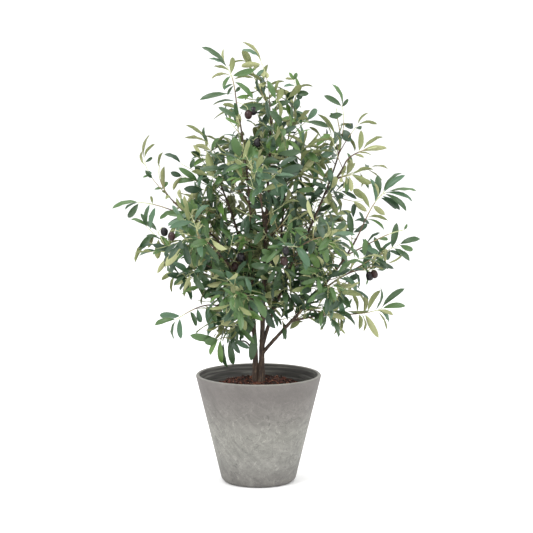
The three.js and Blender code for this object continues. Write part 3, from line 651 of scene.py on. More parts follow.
# Leaves of the outline, measured in the photo: share along their twig, x and z of the tip, width, and the
# green of the side that shows. A mass that has them shows as one slender shoot without side twigs.
shownOnMass = {
    "leaves_top_left": (
        (0.0, -118, 948, 4, "olive"), (0.05, -92, 989, 8, "olive"), (0.08, 14, 984, 18, "deep"),
        (0.22, -118, 986, 5, "deep"), (0.3, -25, 1012, 9, "fresh"), (0.38, -152, 1001, 12, "deep"),
        (0.42, -47, 1034, 8, "deep"), (0.6, -89, 1026, 6, "blue"), (0.58, -79, 1013, 6, "deep"),
        (0.66, -12, 1006, 10, "mid"), (0.7, -13, 1057, 5, "olive"), (0.78, -121, 1054, 5, "khaki"),
        (0.78, -9, 1080, 14, "mid"), (0.8, -93, 1029, 8, "mid"), (0.82, -65, 1110, 12, "olive"),
        (0.9, -116, 1086, 6, "olive"), (1.0, -128, 1107, 7, "blue"), (1.0, -144, 1138, 10, "deep"),
        (1.0, -91, 1132, 6, "khaki"), (1.0, -32, 1100, 5, "olive")),
    "leaves_right_top": (
        (0.2, 199, 872, 10, "deep"), (0.4, 242, 898, 15, "blue"), (0.75, 186, 968, 8, "mid"),
        (0.6, 240, 935, 6, "olive")),
    "leaves_right_upper": (
        (0.1, 244, 837, 11, "khaki"), (0.35, 274, 853, 6, "khaki"), (0.45, 293, 857, 4, "khaki"),
        (0.5, 266, 923, 12, "olive"), (0.62, 322, 907, 8, "olive"), (0.55, 333, 873, 12, "khaki")),
    "leaves_right": (
        (0.3, 262, 712, 7, "dark"), (0.4, 327, 663, 5, "mid"), (0.45, 338, 684, 8, "olive"),
        (0.6, 249, 771, 12, "olive"), (0.7, 328, 702, 12, "khaki"), (0.75, 292, 799, 10, "blue"),
        (0.8, 305, 785, 9, "khaki"), (0.85, 314, 807, 15, "deep"), (0.9, 357, 715, 9, "dark"),
        (0.95, 369, 718, 12, "dark"), (1.0, 384, 713, 10, "deep"), (1.0, 400, 737, 8, "blue"),
        (1.0, 411, 764, 6, "mid"), (1.0, 380, 807, 10, "blue"), (1.0, 371, 813, 7, "deep")),
    "leaves_right_out": (
        (0.2, 296, 598, 12, "dark"), (0.3, 313, 603, 12, "blue"), (0.35, 318, 655, 6, "dark"),
        (0.55, 337, 642, 8, "mid"), (1.0, 386, 680, 6, "mid")),
    "leaves_right_low": (
        (0.02, 195, 388, 5, "khaki"), (0.06, 213, 396, 7, "olive"), (0.12, 220, 416, 5, "dark"),
        (0.45, 237, 500, 7, "olive"), (0.5, 264, 402, 9, "olive"), (0.55, 273, 395, 5, "khaki"),
        (0.6, 277, 497, 10, "khaki"), (0.62, 315, 380, 14, "khaki"), (0.7, 318, 506, 12, "olive"),
        (0.85, 321, 515, 8, "deep"), (0.9, 335, 401, 4, "olive"), (0.95, 341, 421, 7, "blue"),
        (0.9, 352, 440, 10, "khaki"), (1.0, 378, 515, 11, "deep"), (1.0, 383, 469, 11, "mid")),
    "leaves_left_low": (
        (0.05, -115, 420, 14, "mid"), (0.15, -125, 402, 16, "blue"), (0.4, -149, 421, 12, "blue"),
        (0.6, -163, 410, 10, "deep"), (0.9, -204, 377, 13, "blue"), (0.85, -259, 444, 16, "blue"),
        (1.0, -219, 374, 7, "deep"), (1.0, -271, 411, 10, "mid")),
    "leaves_bottom_left": (
        (0.4, -22, 355, 12, "blue"), (0.5, -48, 338, 12, "dark"), (0.55, -71, 307, 15, "deep"),
        (0.75, -84, 301, 11, "deep"), (0.9, -96, 312, 13, "fresh"), (1.0, -128, 334, 10, "fresh"),
        (1.0, -142, 367, 18, "mid"), (1.0, -179, 388, 17, "mid")),
    "leaves_left_out": (
        (0.35, -255, 690, 9, "mid"), (0.8, -290, 699, 9, "blue"), (0.75, -279, 752, 6, "olive"),
        (1.0, -340, 697, 14, "deep"), (1.0, -346, 716, 4, "blue"), (1.0, -381, 722, 8, "mid")),
    "leaves_left": (
        (0.5, -243, 830, 9, "khaki"), (0.55, -270, 770, 6, "mid"), (0.95, -247, 866, 6, "olive")),
}

# Outer twigs that stand out of the outline, with their leaves: limb, height on it, x and z of the end as
# the photo shows it, its depth, the way that it points there (0 is right, 90 up), leaves
outerRows = [
    ("trunk", 936, 2, 1108, -14, 120, (
        (0.62, -9, 1030, 12, "khaki"), (0.8, 24, 1057, 10, "khaki"), (0.82, 12, 1060, 9, "khaki"),
        (0.82, -6, 1064, 8, "blue"), (0.9, -44, 1086, 13, "khaki"), (0.93, -42, 1149, 8, "khaki"),
        (1.0, -43, 1127, 7, "blue"))),
    ("trunk", 930, 46, 1000, -30, 110, ((1.0, 25, 1050, 13, "mid"), (0.95, 62, 1029, 14, "olive"))),
    ("stem_top_right", 884, 92, 1052, 62, 105, (
        (0.5, 104, 1004, 15, "blue"), (0.75, 114, 1008, 13, "dark"), (0.8, 130, 1018, 13, "deep"),
        (0.85, 141, 1035, 5, "olive"), (0.85, 74, 1001, 18, "deep"), (0.9, 65, 1035, 5, "blue"),
        (1.0, 98, 1071, 9, "mid"), (1.0, 80, 1072, 7, "fresh"), (1.0, 69, 1055, 6, "khaki"))),
    ("stem_top_right", 880, 124, 946, 70, 40, (
        (1.0, 150, 978, 14, "blue"), (1.0, 182, 928, 12, "deep"), (0.8, 98, 972, 14, "blue"))),
    ("stem_right", 850, 201, 895, 40, 100, ((1.0, 154, 965, 7, "olive"), (0.9, 166, 912, 10, "olive"))),
    ("stem_right", 852, 216, 983, 38, 105, (
        (0.85, 182, 960, 13, "deep"), (1.0, 169, 1012, 12, "deep"), (1.0, 188, 1041, 7, "mid"),
        (1.0, 231, 1004, 8, "deep"), (0.5, 249, 868, 7, "olive"), (0.55, 238, 898, 17, "dark"),
        (0.62, 245, 934, 13, "dark"))),
    ("stem_right", 856, 255, 936, 20, 55, (
        (0.9, 267, 930, 8, "deep"), (1.0, 285, 968, 5, "olive"), (1.0, 307, 938, 6, "olive"))),
    ("bough_right_upper", 790, 241, 806, -20, 8, (
        (0.5, 226, 832, 8, "khaki"), (0.8, 220, 771, 7, "khaki"), (0.9, 241, 764, 10, "khaki"),
        (0.55, 212, 789, 8, "khaki"), (1.0, 286, 780, 12, "olive"), (1.0, 298, 823, 8, "olive"))),
    ("bough_right_mid", 536, 366, 625, -30, 25, (
        (0.72, 302, 646, 11, "deep"), (0.82, 371, 596, 7, "dark"), (0.88, 363, 682, 15, "deep"),
        (0.85, 336, 584, 9, "dark"), (0.9, 347, 646, 8, "dark"),
        (0.9, 396, 587, 11, "deep"), (1.0, 402, 611, 12, "mid"), (1.0, 421, 640, 11, "deep"))),
    ("bough_right_mid", 540, 284, 574, 0, 20, (
        (0.5, 261, 511, 7, "dark"), (0.9, 282, 519, 8, "mid"), (1.0, 325, 561, 9, "khaki"),
        (1.0, 353, 560, 12, "dark"))),
    ("bough_left_under", 536, -210, 552, 44, 180, (
        (0.6, -137, 482, 12, "mid"), (0.9, -180, 499, 9, "khaki"), (0.95, -137, 545, 13, "dark"),
        (1.0, -177, 478, 10, "blue"), (1.0, -225, 499, 6, "olive"), (1.0, -252, 530, 10, "olive"))),
    ("bough_left_mid", 600, -290, 672, -64, 130, (
        (0.9, -272, 724, 11, "blue"), (0.7, -266, 588, 14, "olive"), (0.8, -284, 616, 8, "khaki"),
        (0.8, -322, 579, 10, "olive"), (0.85, -310, 611, 14, "deep"), (1.0, -289, 722, 10, "deep"),
        (1.0, -308, 706, 8, "deep"), (1.0, -331, 691, 6, "mid"))),
    ("bough_left", 704, -296, 848, 38, 100, (
        (0.4, -235, 747, 12, "olive"), (0.4, -249, 766, 6, "olive"),
        (0.75, -300, 800, 5, "mid"), (0.8, -276, 812, 9, "blue"),
        (0.7, -292, 820, 9, "deep"), (0.9, -299, 868, 5, "khaki"), (0.5, -236, 790, 9, "mid"),
        (0.95, -274, 852, 7, "deep"), (1.0, -268, 888, 6, "olive"), (1.0, -281, 913, 6, "khaki"))),
    ("stem_left", 764, -130, 890, 44, 115, (
        (0.8, -166, 886, 9, "khaki"), (0.8, -104, 905, 9, "mid"), (1.0, -141, 931, 7, "deep"),
        (1.0, -193, 902, 6, "khaki"), (1.0, -188, 935, 6, "olive"))),
    ("stem_left", 760, -200, 836, 10, 150, (
        (0.8, -166, 850, 10, "deep"), (1.0, -243, 862, 9, "dark"))),
    ("stem_left", 440, -6, 424, -30, 200, (
        (1.0, -15, 318, 18, "deep"), (0.9, -63, 408, 24, "dark"), (1.0, -61, 433, 10, "fresh"))),
    ("stem_left", 745, -198, 804, 16, 160, (
        (0.35, -164, 831, 16, "deep"), (0.65, -207, 827, 13, "mid"), (0.7, -219, 786, 12, "mid"),
        (1.0, -219, 766, 9, "khaki"), (1.0, -228, 813, 12, "dark"))),
    ("stem_left", 767, -150, 858, 30, 130, (
        (1.0, -174, 868, 12, "deep"), (1.0, -168, 885, 9, "khaki"))),
    ("stem_right", 742, 274, 742, -6, 25, (
        (0.5, 209, 758, 12, "dark"), (0.75, 280, 710, 12, "khaki"), (1.0, 246, 770, 13, "olive"))),
    ("stem_right", 748, 192, 778, 2, 90, (
        (0.3, 204, 704, 13, "olive"), (0.6, 184, 730, 14, "olive"), (1.0, 183, 822, 13, "blue"))),
    ("stem_low_right", 402, 66, 430, -24, 60, (
        (0.3, 73, 375, 9, "deep"), (0.6, 106, 403, 8, "dark"), (0.8, 127, 409, 9, "dark"))),
    # those that show large in the middle of the crown
    ("bough_left", 684, -163, 706, -22, 150, (
        (0.4, -130, 742, 14, "dark"), (0.8, -216, 680, 14, "mid"), (0.85, -152, 762, 15, "blue"),
        (0.9, -172, 745, 14, "fresh"), (0.95, -203, 745, 16, "mid"),
        (1.0, -245, 708, 14, "mid"))),
    ("bough_left", 650, -149, 677, -50, 160, (
        (0.9, -140, 640, 13, "mid"), (1.0, -212, 667, 20, "deep"), (1.0, -175, 636, 18, "blue"))),
    ("stem_left", 725, -160, 778, -10, 150, (
        (0.3, -132, 754, 12, "mid"), (0.8, -194, 771, 17, "dark"))),
    ("stem_upper_left", 770, -46, 850, -60, 90, (
        (0.5, -92, 806, 15, "blue"), (0.75, -89, 829, 15, "dark"), (1.0, -84, 853, 12, "mid"),
        (1.0, -66, 906, 19, "mid"))),
    ("trunk", 700, 22, 768, -70, 85, (
        (0.45, -23, 725, 14, "dark"), (0.65, -28, 749, 12, "dark"), (0.9, 79, 772, 20, "blue"),
        (1.0, -33, 791, 17, "deep"))),
    ("trunk", 748, 44, 810, -60, 80, (
        (0.8, -20, 811, 14, "dark"), (0.9, -9, 835, 17, "dark"), (0.9, 108, 814, 14, "dark"),
        (1.0, 116, 834, 17, "dark"))),
    ("trunk", 820, 44, 862, -50, 80, (
        (0.9, 78, 893, 17, "fresh"), (1.0, 24, 899, 18, "fresh"), (1.0, 110, 865, 14, "deep"))),
    ("stem_top_right", 690, 98, 766, -20, 80, (
        (0.3, 108, 689, 15, "dark"), (0.7, 62, 724, 14, "mid"), (1.0, 129, 714, 18, "dark"),
        (1.0, 146, 772, 13, "mid"))),
    ("trunk", 560, 47, 602, -96, 60, (
        (0.9, 8, 613, 14, "mid"), (1.0, 4, 585, 16, "mid"))),
    ("stem_right", 560, 134, 604, -110, 40, ((1.0, 160, 566, 18, "fresh"),)),
]

# The side twigs of these masses keep only a share of their length
shortened = {"leaves_top": 0.75, "leaves_upper_left": 0.6, "leaves_top_right": 0.7}

# Places where the photo shows sky round and between the sprays: middle x and z, half width and half height
skyRows = (
    (60, 1125, 44, 42), (178, 1082, 52, 40), (142, 1006, 22, 20), (176, 990, 16, 16), (300, 1005, 58, 36),
    (332, 956, 22, 20), (300, 926, 22, 8), (352, 850, 46, 26), (285, 846, 34, 12), (424, 700, 44, 20),
    (336, 662, 11, 18), (385, 545, 60, 24), (335, 520, 30, 26), (286, 522, 34, 10), (215, 348, 165, 30),
    (228, 415, 14, 16), (122, 384, 42, 12), (-205, 334, 92, 34), (-235, 480, 34, 10), (-300, 540, 40, 24),
    (-345, 645, 24, 30), (-350, 850, 42, 80), (-264, 855, 11, 30), (-268, 800, 14, 16), (-235, 912, 32, 28),
    (-176, 962, 40, 20), (-84, 926, 22, 12), (-30, 925, 11, 20), (-24, 1052, 14, 9), (-40, 325, 12, 18),
    (-210, 1050, 34, 120), (44, 340, 22, 40), (-175, 512, 10, 18), (-276, 590, 18, 8),
    (128, 412, 20, 14), (180, 404, 14, 12), (-238, 512, 12, 12), (272, 538, 10, 16), (-262, 574, 12, 16),
    (46, 1068, 14, 12), (212, 462, 12, 8), (-92, 926, 14, 10),
)

# Where the photo shows a limb between the leaves: its heights from and to
limbShows = {
    "trunk": (615, 715), "stem_upper_left": (690, 840), "stem_left": (665, 773), "stem_right": (660, 860),
    "stem_low_right": (330, 430), "stem_top_right": (645, 710), "bough_left": (620, 650),
    "bough_right_mid": (525, 544),
}
limbWindow = 7.0  # how near to a shown limb a leaf hides it

# "bark" gives the shares along a twig where its brown and its tan end
shoot = {
    "thick": (2.0, 1.0), "twigs": (0.16, 0.7), "firstLeaf": 0.12, "bark": (0.45, 0.72), "overLimb": 0.2}
twig = {
    "thick": (1.25, 0.75), "angle": 50.0, "turn": 137.5, "taper": 0.4, "lift": 0.35, "firstLeaf": 0.3,
    "bark": (0.0, 0.3), "spacing": 33.0, "fewest": 3, "sides": 6, "stepLength": 6.0,
    "knots": (0.05, 3, 40), "clearFrom": 0.3, "clearOfLimb": 1.0, "spots": 6, "mostInSky": 1,
}
fineTwig = {
    "thick": (0.9, 0.6), "angle": 46.0, "at": 0.42, "length": 0.62, "firstLeaf": 0.4, "bark": (0.0, 0.0),
    "fromSize": 0.9,
}
outerTwig = {"thick": (1.5, 0.7), "firstLeaf": 0.36, "bark": (0.45, 0.7), "seed": 3}
limbTwig = {
    "thick": (1.2, 0.7), "angle": 58.0, "length": (56.0, 104.0), "firstLeaf": 0.26, "bark": (0.2, 0.4),
    "spacing": 30.0, "uneven": 0.8, "lowest": 415.0, "last": 0.96, "seed": 1,
}
leaf = {
    "seed": 50, "meshSeed": 17, "length": 59.0, "width": 16.0, "thick": 0.5, "angle": 58.0, "spacing": 16.0,
    "acrossPair": 3.0, "firstPair": 0.35, "tipAt": 0.98, "small": 0.78, "droop": 0.14, "rib": (0.35, 0.7, 1),
    "clearOfLeaf": 5.4, "clearOfLimb": 1.5, "overPot": 8.0, "besidePot": 16.0, "turnedBend": 0.4,
    "stations": (0.0, 0.09, 0.18, 0.31, 0.46, 0.61, 0.76, 0.89, 1.0), "stalkWidth": 1.3, "pointWidth": 0.35,
    "across": (-1.0, -0.5, 0.0, 0.5, 1.0), "ripple": (1.0, 0.3, 0.0, 0.3, 1.0), "wave": 0.13,
    "fold": (0.15, 0.62), "bend": (0.2, 1.1), "slim": (0.72, 1.14), "sickle": 0.7, "twist": 0.95,
    "fullness": (0.86, 0.72), "sharp": 75, "mostPoints": 20000, "mostTriangles": 190000,
}
shownLeaf = {
    "depth": 44.0, "bend": (0.7, 1.3), "sickle": 0.25, "twist": 0.3, "leastFold": 0.15, "moreFold": 0.3,
    "longestBlade": 74.0, "broader": 1.2, "leastTurn": 0.42, "outward": 0.4, "clearOfLimb": 0.5,
}
vary = {
    "twigTurn": 40.0, "twigAngle": 16.0, "twigLength": 0.3, "leafAngle": 30.0, "leafSize": 0.5,
    "tipLeafSize": 0.3,
}
# The pulls on a leaf's face, the share that is turned over, and what keeps a root off the axis itself
facing = {"free": 0.9, "outward": 0.5, "up": 1.05, "front": 0.3, "turnedOver": 0.15, "offAxis": 1e-6}
greens = {"dark": 0.35, "deep": 0.28, "mid": 0.17, "fresh": 0.06, "blue": 0.14}
undersides = {"olive": 0.55, "khaki": 0.45}
upperColours = {"dark": "2d442f", "deep": "385032", "mid": "476337", "fresh": "57753a", "blue": "446147"}
underColours = {"olive": "7d8558", "khaki": "979b6f"}
ownGreen = 0.22  # the share of leaves whose green isn't their spray's


def about(middle, spread, random):
    # At random, up to half the spread from the middle
    return middle + spread * (random() - 0.5)


def between(ends, random):
    # At random between the two ends
    return ends[0] + (ends[1] - ends[0]) * random()


def swung(most, random):
    # At random from -most to most, and more often near 0
    return most * (random() + random() - 1)


def pick(shares, random):
    # One name of several, each as often as its share says; the last one also takes what rounding leaves
    return list(shares)[int(np.searchsorted(np.cumsum(list(shares.values())), random() * 0.999))]


def layOutMass(row, place, limbs):
    # A mass's shoot as one curve, with one run of numbers for its twigs and one for its leaves
    name, limbName, at, azimuth, rise, reach, spread, bend, size = row
    limb = limbs[limbName]
    share = shareAtHeight(limb["curve"], at) if at else 1.0
    start = pointAt(limb["curve"], share)
    leave = heading(azimuth, rise) if at else alongAt(limb["curve"], share)
    curve = bentCurve(start, leave, start + heading(azimuth, rise) * reach, heading(azimuth, rise + bend))
    return {
        "name": name, "curve": curve, "reach": reach, "spread": spread, "size": size,
        "random": seededRandom(place + 1), "leafRandom": seededRandom(place + leaf["seed"]),
        "base": min(shoot["thick"][0], limb["thick"][1] + shoot["overLimb"])}


def newSpray(curve, form, random, thick=None, shown=()):
    # One leafy twig, with its colours and the leaves that the photo shows on it
    return {
        "curve": curve, "thick": thick or form["thick"], "firstLeaf": form["firstLeaf"],
        "bark": form["bark"], "random": random, "green": pick(greens, random),
        "under": pick(undersides, random), "shown": shown}


def sideTwig(parent, share, turn, angle, length):
    # A twig that leaves its parent at the angle, turned about it, and lifts a little towards its way
    along = alongAt(parent, share)
    across = turned(unit(np.cross(along, up)), along, turn)
    leave = along * math.cos(angle) + across * math.sin(angle)
    arrive = unit(leave + along * twig["lift"])
    start = pointAt(parent, share)
    return bentCurve(start, leave, start + (leave + arrive) * length / 2, arrive)


def layOutTwigs(mass):
    # The solids' own twigs: at even steps along the shoot, each a golden angle round from the last
    random = mass["random"]
    count = max(twig["fewest"], int(mass["reach"] / twig["spacing"] + 0.5))
    kept = 0.0 if mass["name"] in shownOnMass else shortened.get(mass["name"], 1.0)
    low, high = shoot["twigs"]
    twigs = []
    for i in range(count):
        share = low + (high - low) * i / (count - 1)
        turn = math.radians(twig["turn"] * i + vary["twigTurn"] * random())
        angle = math.radians(about(twig["angle"], vary["twigAngle"], random))
        length = mass["spread"] * (1 - twig["taper"] * share) * about(1, vary["twigLength"], random)
        if kept:
            twigs.append(sideTwig(mass["curve"], share, turn, angle, length * kept))
    return twigs


def layOutFineTwigs(mass, twigs):
    # One finer twig on each twig of the fuller masses
    random = mass["random"]
    fine = []
    for parent in twigs if mass["size"] > fineTwig["fromSize"] else []:
        turn = 2 * math.pi * random()
        angle = math.radians(about(fineTwig["angle"], vary["twigAngle"], random))
        length = parent["length"] * fineTwig["length"] * about(1, vary["twigLength"], random)
        fine.append(sideTwig(parent, fineTwig["at"], turn, angle, length))
    return fine


def layOutOuterTwig(row, limbs):
    # A twig from its place on the limb to the end that the photo shows, which arrives along its own way
    limbName, at, x, z, depth, way = row[:6]
    curve = limbs[limbName]["curve"]
    share = shareAtHeight(curve, at)
    start, end = pointAt(curve, share), seenAt(x, z, depth)
    leave = unit(alongAt(curve, share) + unit(end - start))
    return bentCurve(start, leave, end, heading(0, way))


def layOutLimbTwigs(limb, random):
    # Twigs that leave a stem or bough below its masses, each a golden angle round from the last
    curve = limb["curve"]
    count = int(curve["length"] * limbTwig["last"] / limbTwig["spacing"])
    first = 2 * math.pi * random()
    twigs = []
    for i in range(count):
        share = (i + limbTwig["uneven"] * random()) / count * limbTwig["last"]
        turn = first + math.radians(twig["turn"] * i + vary["twigTurn"] * random())
        angle = math.radians(about(limbTwig["angle"], vary["twigAngle"], random))
        reach = between(limbTwig["length"], random)
        if pointAt(curve, share)[2] > limbTwig["lowest"]:
            twigs.append(sideTwig(curve, share, turn, angle, reach))
    return twigs


def leafFacing(root, random):
    # The way that a leaf faces: at random, with pulls away from the pot's axis, up and to the front
    outward = unit(np.array([root[0] + facing["offAxis"], root[1], 0.0]))
    free = (np.array([random() for _ in range(3)]) - 0.5) * 2
    face = free * facing["free"] + outward * facing["outward"] + up * facing["up"]
    face = face - ahead * facing["front"]
    return -face if random() < facing["turnedOver"] else face


def newLeaf(root, way, size, spray):
    # A leaf on a twig, whose green, bend, fold, breadth, sickle and twist vary at random
    random = spray["random"]
    face = leafFacing(root, random)
    green = pick(greens, random)
    return {
        "root": root, "way": way, "face": unit(face - way * np.dot(face, way)), "size": size,
        "green": green if random() < ownGreen else spray["green"], "under": spray["under"],
        "bend": between(leaf["bend"], random) * (leaf["turnedBend"] if np.dot(face, up) < 0 else 1.0),
        "fold": between(leaf["fold"], random), "slim": between(leaf["slim"], random),
        "sickle": swung(leaf["sickle"], random), "twist": swung(leaf["twist"], random),
        "stalk": leaf["stations"][1]}


def shownLeaves(spray):
    # Each leaf that the photo shows on a twig, from its root to its tip as one arch of an even bend b, whose
    # chord is sin(b/2) / (b/2) of its length. A leaf that shows narrow is seen from its edge: it is turned
    # about its chord until its own width shows as the measured one, its upper side still facing up.
    random, form = spray["random"], shownLeaf
    leaves = []
    for share, x, z, width, green in spray["shown"]:
        root = pointAt(spray["curve"], share)
        chord = seenAt(x, z, about(root[1], form["depth"], random)) - root
        half = between(form["bend"], random) / 2
        length = np.linalg.norm(chord) * half / math.sin(half)
        chord = unit(chord)
        own = leaf["width"] * min(1.0, length / leaf["length"])
        turn = max(form["leastTurn"], min(1.0, width * form["broader"] / own))
        toCamera = unit(-ahead + chord * np.dot(ahead, chord))
        upper = unit(np.cross(chord, toCamera))
        upper = upper * (1 if np.dot(upper, up + form["outward"] * unit(root * (1, 1, 0))) > 0 else -1)
        face = upper * math.sqrt(1 - turn * turn) + toCamera * (-turn if green in undersides else turn)
        leaves.append({
            "root": root, "way": chord * math.cos(half) + face * math.sin(half),
            "face": face * math.cos(half) - chord * math.sin(half), "size": length / leaf["length"],
            "slim": width * form["broader"] / turn / leaf["width"] * leaf["length"] / length,
            "bend": 2 * half, "fold": form["leastFold"] + form["moreFold"] * random(),
            "sickle": swung(form["sickle"], random), "twist": swung(form["twist"], random),
            "stalk": max(leaf["stations"][1], 1 - form["longestBlade"] / length),
            "green": green if green in greens else spray["green"],
            "under": green if green in undersides else spray["under"]})
    return leaves


def layOutLeaves(spray):
    # Opposite pairs up a twig, a quarter turn from pair to pair, and one leaf at its tip
    curve, first, random = spray["curve"], spray["firstLeaf"], spray["random"]
    pairs = max(1, int(curve["length"] * (1 - first) / leaf["spacing"] + 0.5))
    quarter = random() * math.pi
    leaves = []
    for i in range(pairs):
        share = first + (1 - first) * (i + leaf["firstPair"]) / pairs
        along = alongAt(curve, share)
        across = turned(unit(np.cross(along, up)), along, quarter + i * math.pi / 2)
        for sign in (-1, 1):
            angle = sign * math.radians(about(leaf["angle"], vary["leafAngle"], random))
            way = unit(along * math.cos(angle) + across * math.sin(angle) - up * leaf["droop"])
            root = pointAt(curve, share) + along * sign * leaf["acrossPair"] / 2
            leaves.append(newLeaf(root, way, about(1, vary["leafSize"], random), spray))
    size = about(1, vary["tipLeafSize"], random)
    leaves.append(newLeaf(pointAt(curve, leaf["tipAt"]), alongAt(curve, 1.0), size, spray))
    return leaves


def ribPoints(one, size):
    # Points along the middle of a leaf that bends at an even rate from its way, back from its face
    u, bend = np.array(leaf["rib"])[:, None], one["bend"]
    reach = one["way"] * np.sin(bend * u) / bend - one["face"] * (1 - np.cos(bend * u)) / bend
    return one["root"] + leaf["length"] * size * reach


limbSteps, shownSteps = np.linspace(0, 1, 90), 60
limbPath = np.concatenate([pointAt(limb["curve"], limbSteps) for limb in limbs.values()])
limbThick = np.concatenate([limbRadius(limb, limbSteps) for limb in limbs.values()])


def limbsInView():
    # Points along the limbs where the photo shows them: x and z as it shows them, and their depth
    parts = []
    for name, (low, high) in limbShows.items():
        curve = limbs[name]["curve"]
        ends = shareAtHeight(curve, low), shareAtHeight(curve, high)
        points = pointAt(curve, np.linspace(*ends, shownSteps))
        parts.append(np.stack([*seenFrom(points), points[:, 1]], axis=1))
    return np.concatenate(parts)


shownLimbs = limbsInView()


def clearOfLimbs(points, margin):
    # Whether the points keep more than the margin off every limb
    gaps = np.linalg.norm(points[:, None] - limbPath[None], axis=2) - limbThick
    return gaps.min() > margin


def clearOfPot(points):
    # Whether the points keep above the rim or outside it
    reach = np.hypot(points[:, 0], points[:, 1])
    over, beside = pot["height"] + leaf["overPot"], pot["rimRadius"] + leaf["besidePot"]
    return bool(np.all((points[:, 2] > over) | (reach > beside)))


def inSky(points):
    # Which of the points the camera sees in one of the open places
    x, z = (seen[:, None] for seen in seenFrom(points))
    midX, midZ, wide, high = np.array(skyRows, dtype=float).T
    return np.any(((x - midX) / wide) ** 2 + ((z - midZ) / high) ** 2 < 1, axis=1)


def hidesLimb(points):
    # Whether a leaf's middle line is seen in front of a limb where the photo shows the limb
    points = np.concatenate([points, (points[1:] + points[:-1]) / 2])
    x, z = seenFrom(points)
    off = np.hypot(x[:, None] - shownLimbs[:, 0], z[:, None] - shownLimbs[:, 1])
    return bool(np.any((off < limbWindow) & (points[:, 1:2] < shownLimbs[:, 2])))


def clearTwigs(twigs):
    # The twigs that touch no limb and lie mostly outside the open places
    kept = []
    for curve in twigs:
        points = pointAt(curve, np.linspace(twig["clearFrom"], 1, twig["spots"]))
        if clearOfLimbs(points, twig["clearOfLimb"]) and inSky(points).sum() <= twig["mostInSky"]:
            kept.append(curve)
    return kept


def clearOfOlives(points, hung):
    # A leaf keeps off each fruit, and out of the camera's view of those on the near side
    x, z = seenFrom(points)
    for fruit in hung:
        if np.linalg.norm(points - fruit["centre"], axis=1).min() < olive["radius"] + olive["clear"]:
            return False
        seenX, seenZ = seenFrom(fruit["centre"])
        beside = np.hypot(x - seenX, z - seenZ) < olive["radius"] + olive["clearInView"]
        if fruit["near"] and np.any(beside & (points[:, 1] < fruit["centre"][1])):
            return False
    return True


def fits(rib, taken, hung):
    # Whether a leaf keeps apart from earlier leaves, limbs, fruits and pot, and out of the open places
    gap = np.linalg.norm(rib[:, None] - taken[None], axis=2).min()
    return (
        gap >= leaf["clearOfLeaf"] and not np.any(inSky(rib)) and not hidesLimb(rib)
        and clearOfOlives(rib, hung) and clearOfLimbs(rib, leaf["clearOfLimb"]) and clearOfPot(rib))


def growLeaves(sprays, hung):
    # The leaves that the photo shows, then on the other twigs those that fit, some of them only if smaller
    shown = [one for spray in sprays for one in shownLeaves(spray)]
    grown = [one for one in shown if clearOfLimbs(ribPoints(one, one["size"]), shownLeaf["clearOfLimb"])]
    taken, count = np.zeros((leaf["mostPoints"], 3)), 3 * len(grown)
    taken[:count] = np.concatenate([ribPoints(one, one["size"]) for one in grown])
    for spray in sprays:
        for one in () if spray["shown"] else layOutLeaves(spray):
            for size in (one["size"], one["size"] * leaf["small"]):
                rib = ribPoints(one, size)
                if fits(rib, taken[:count], hung):
                    taken[count:count + 3] = rib
                    count += 3
                    grown.append(dict(one, size=size))
                    break
    return grown


def gridQuads(grid):
    # The faces between neighbouring rows and columns of corners
    return np.stack([grid[:-1, :-1], grid[1:, :-1], grid[1:, 1:], grid[:-1, 1:]], axis=-1).reshape(-1, 4)


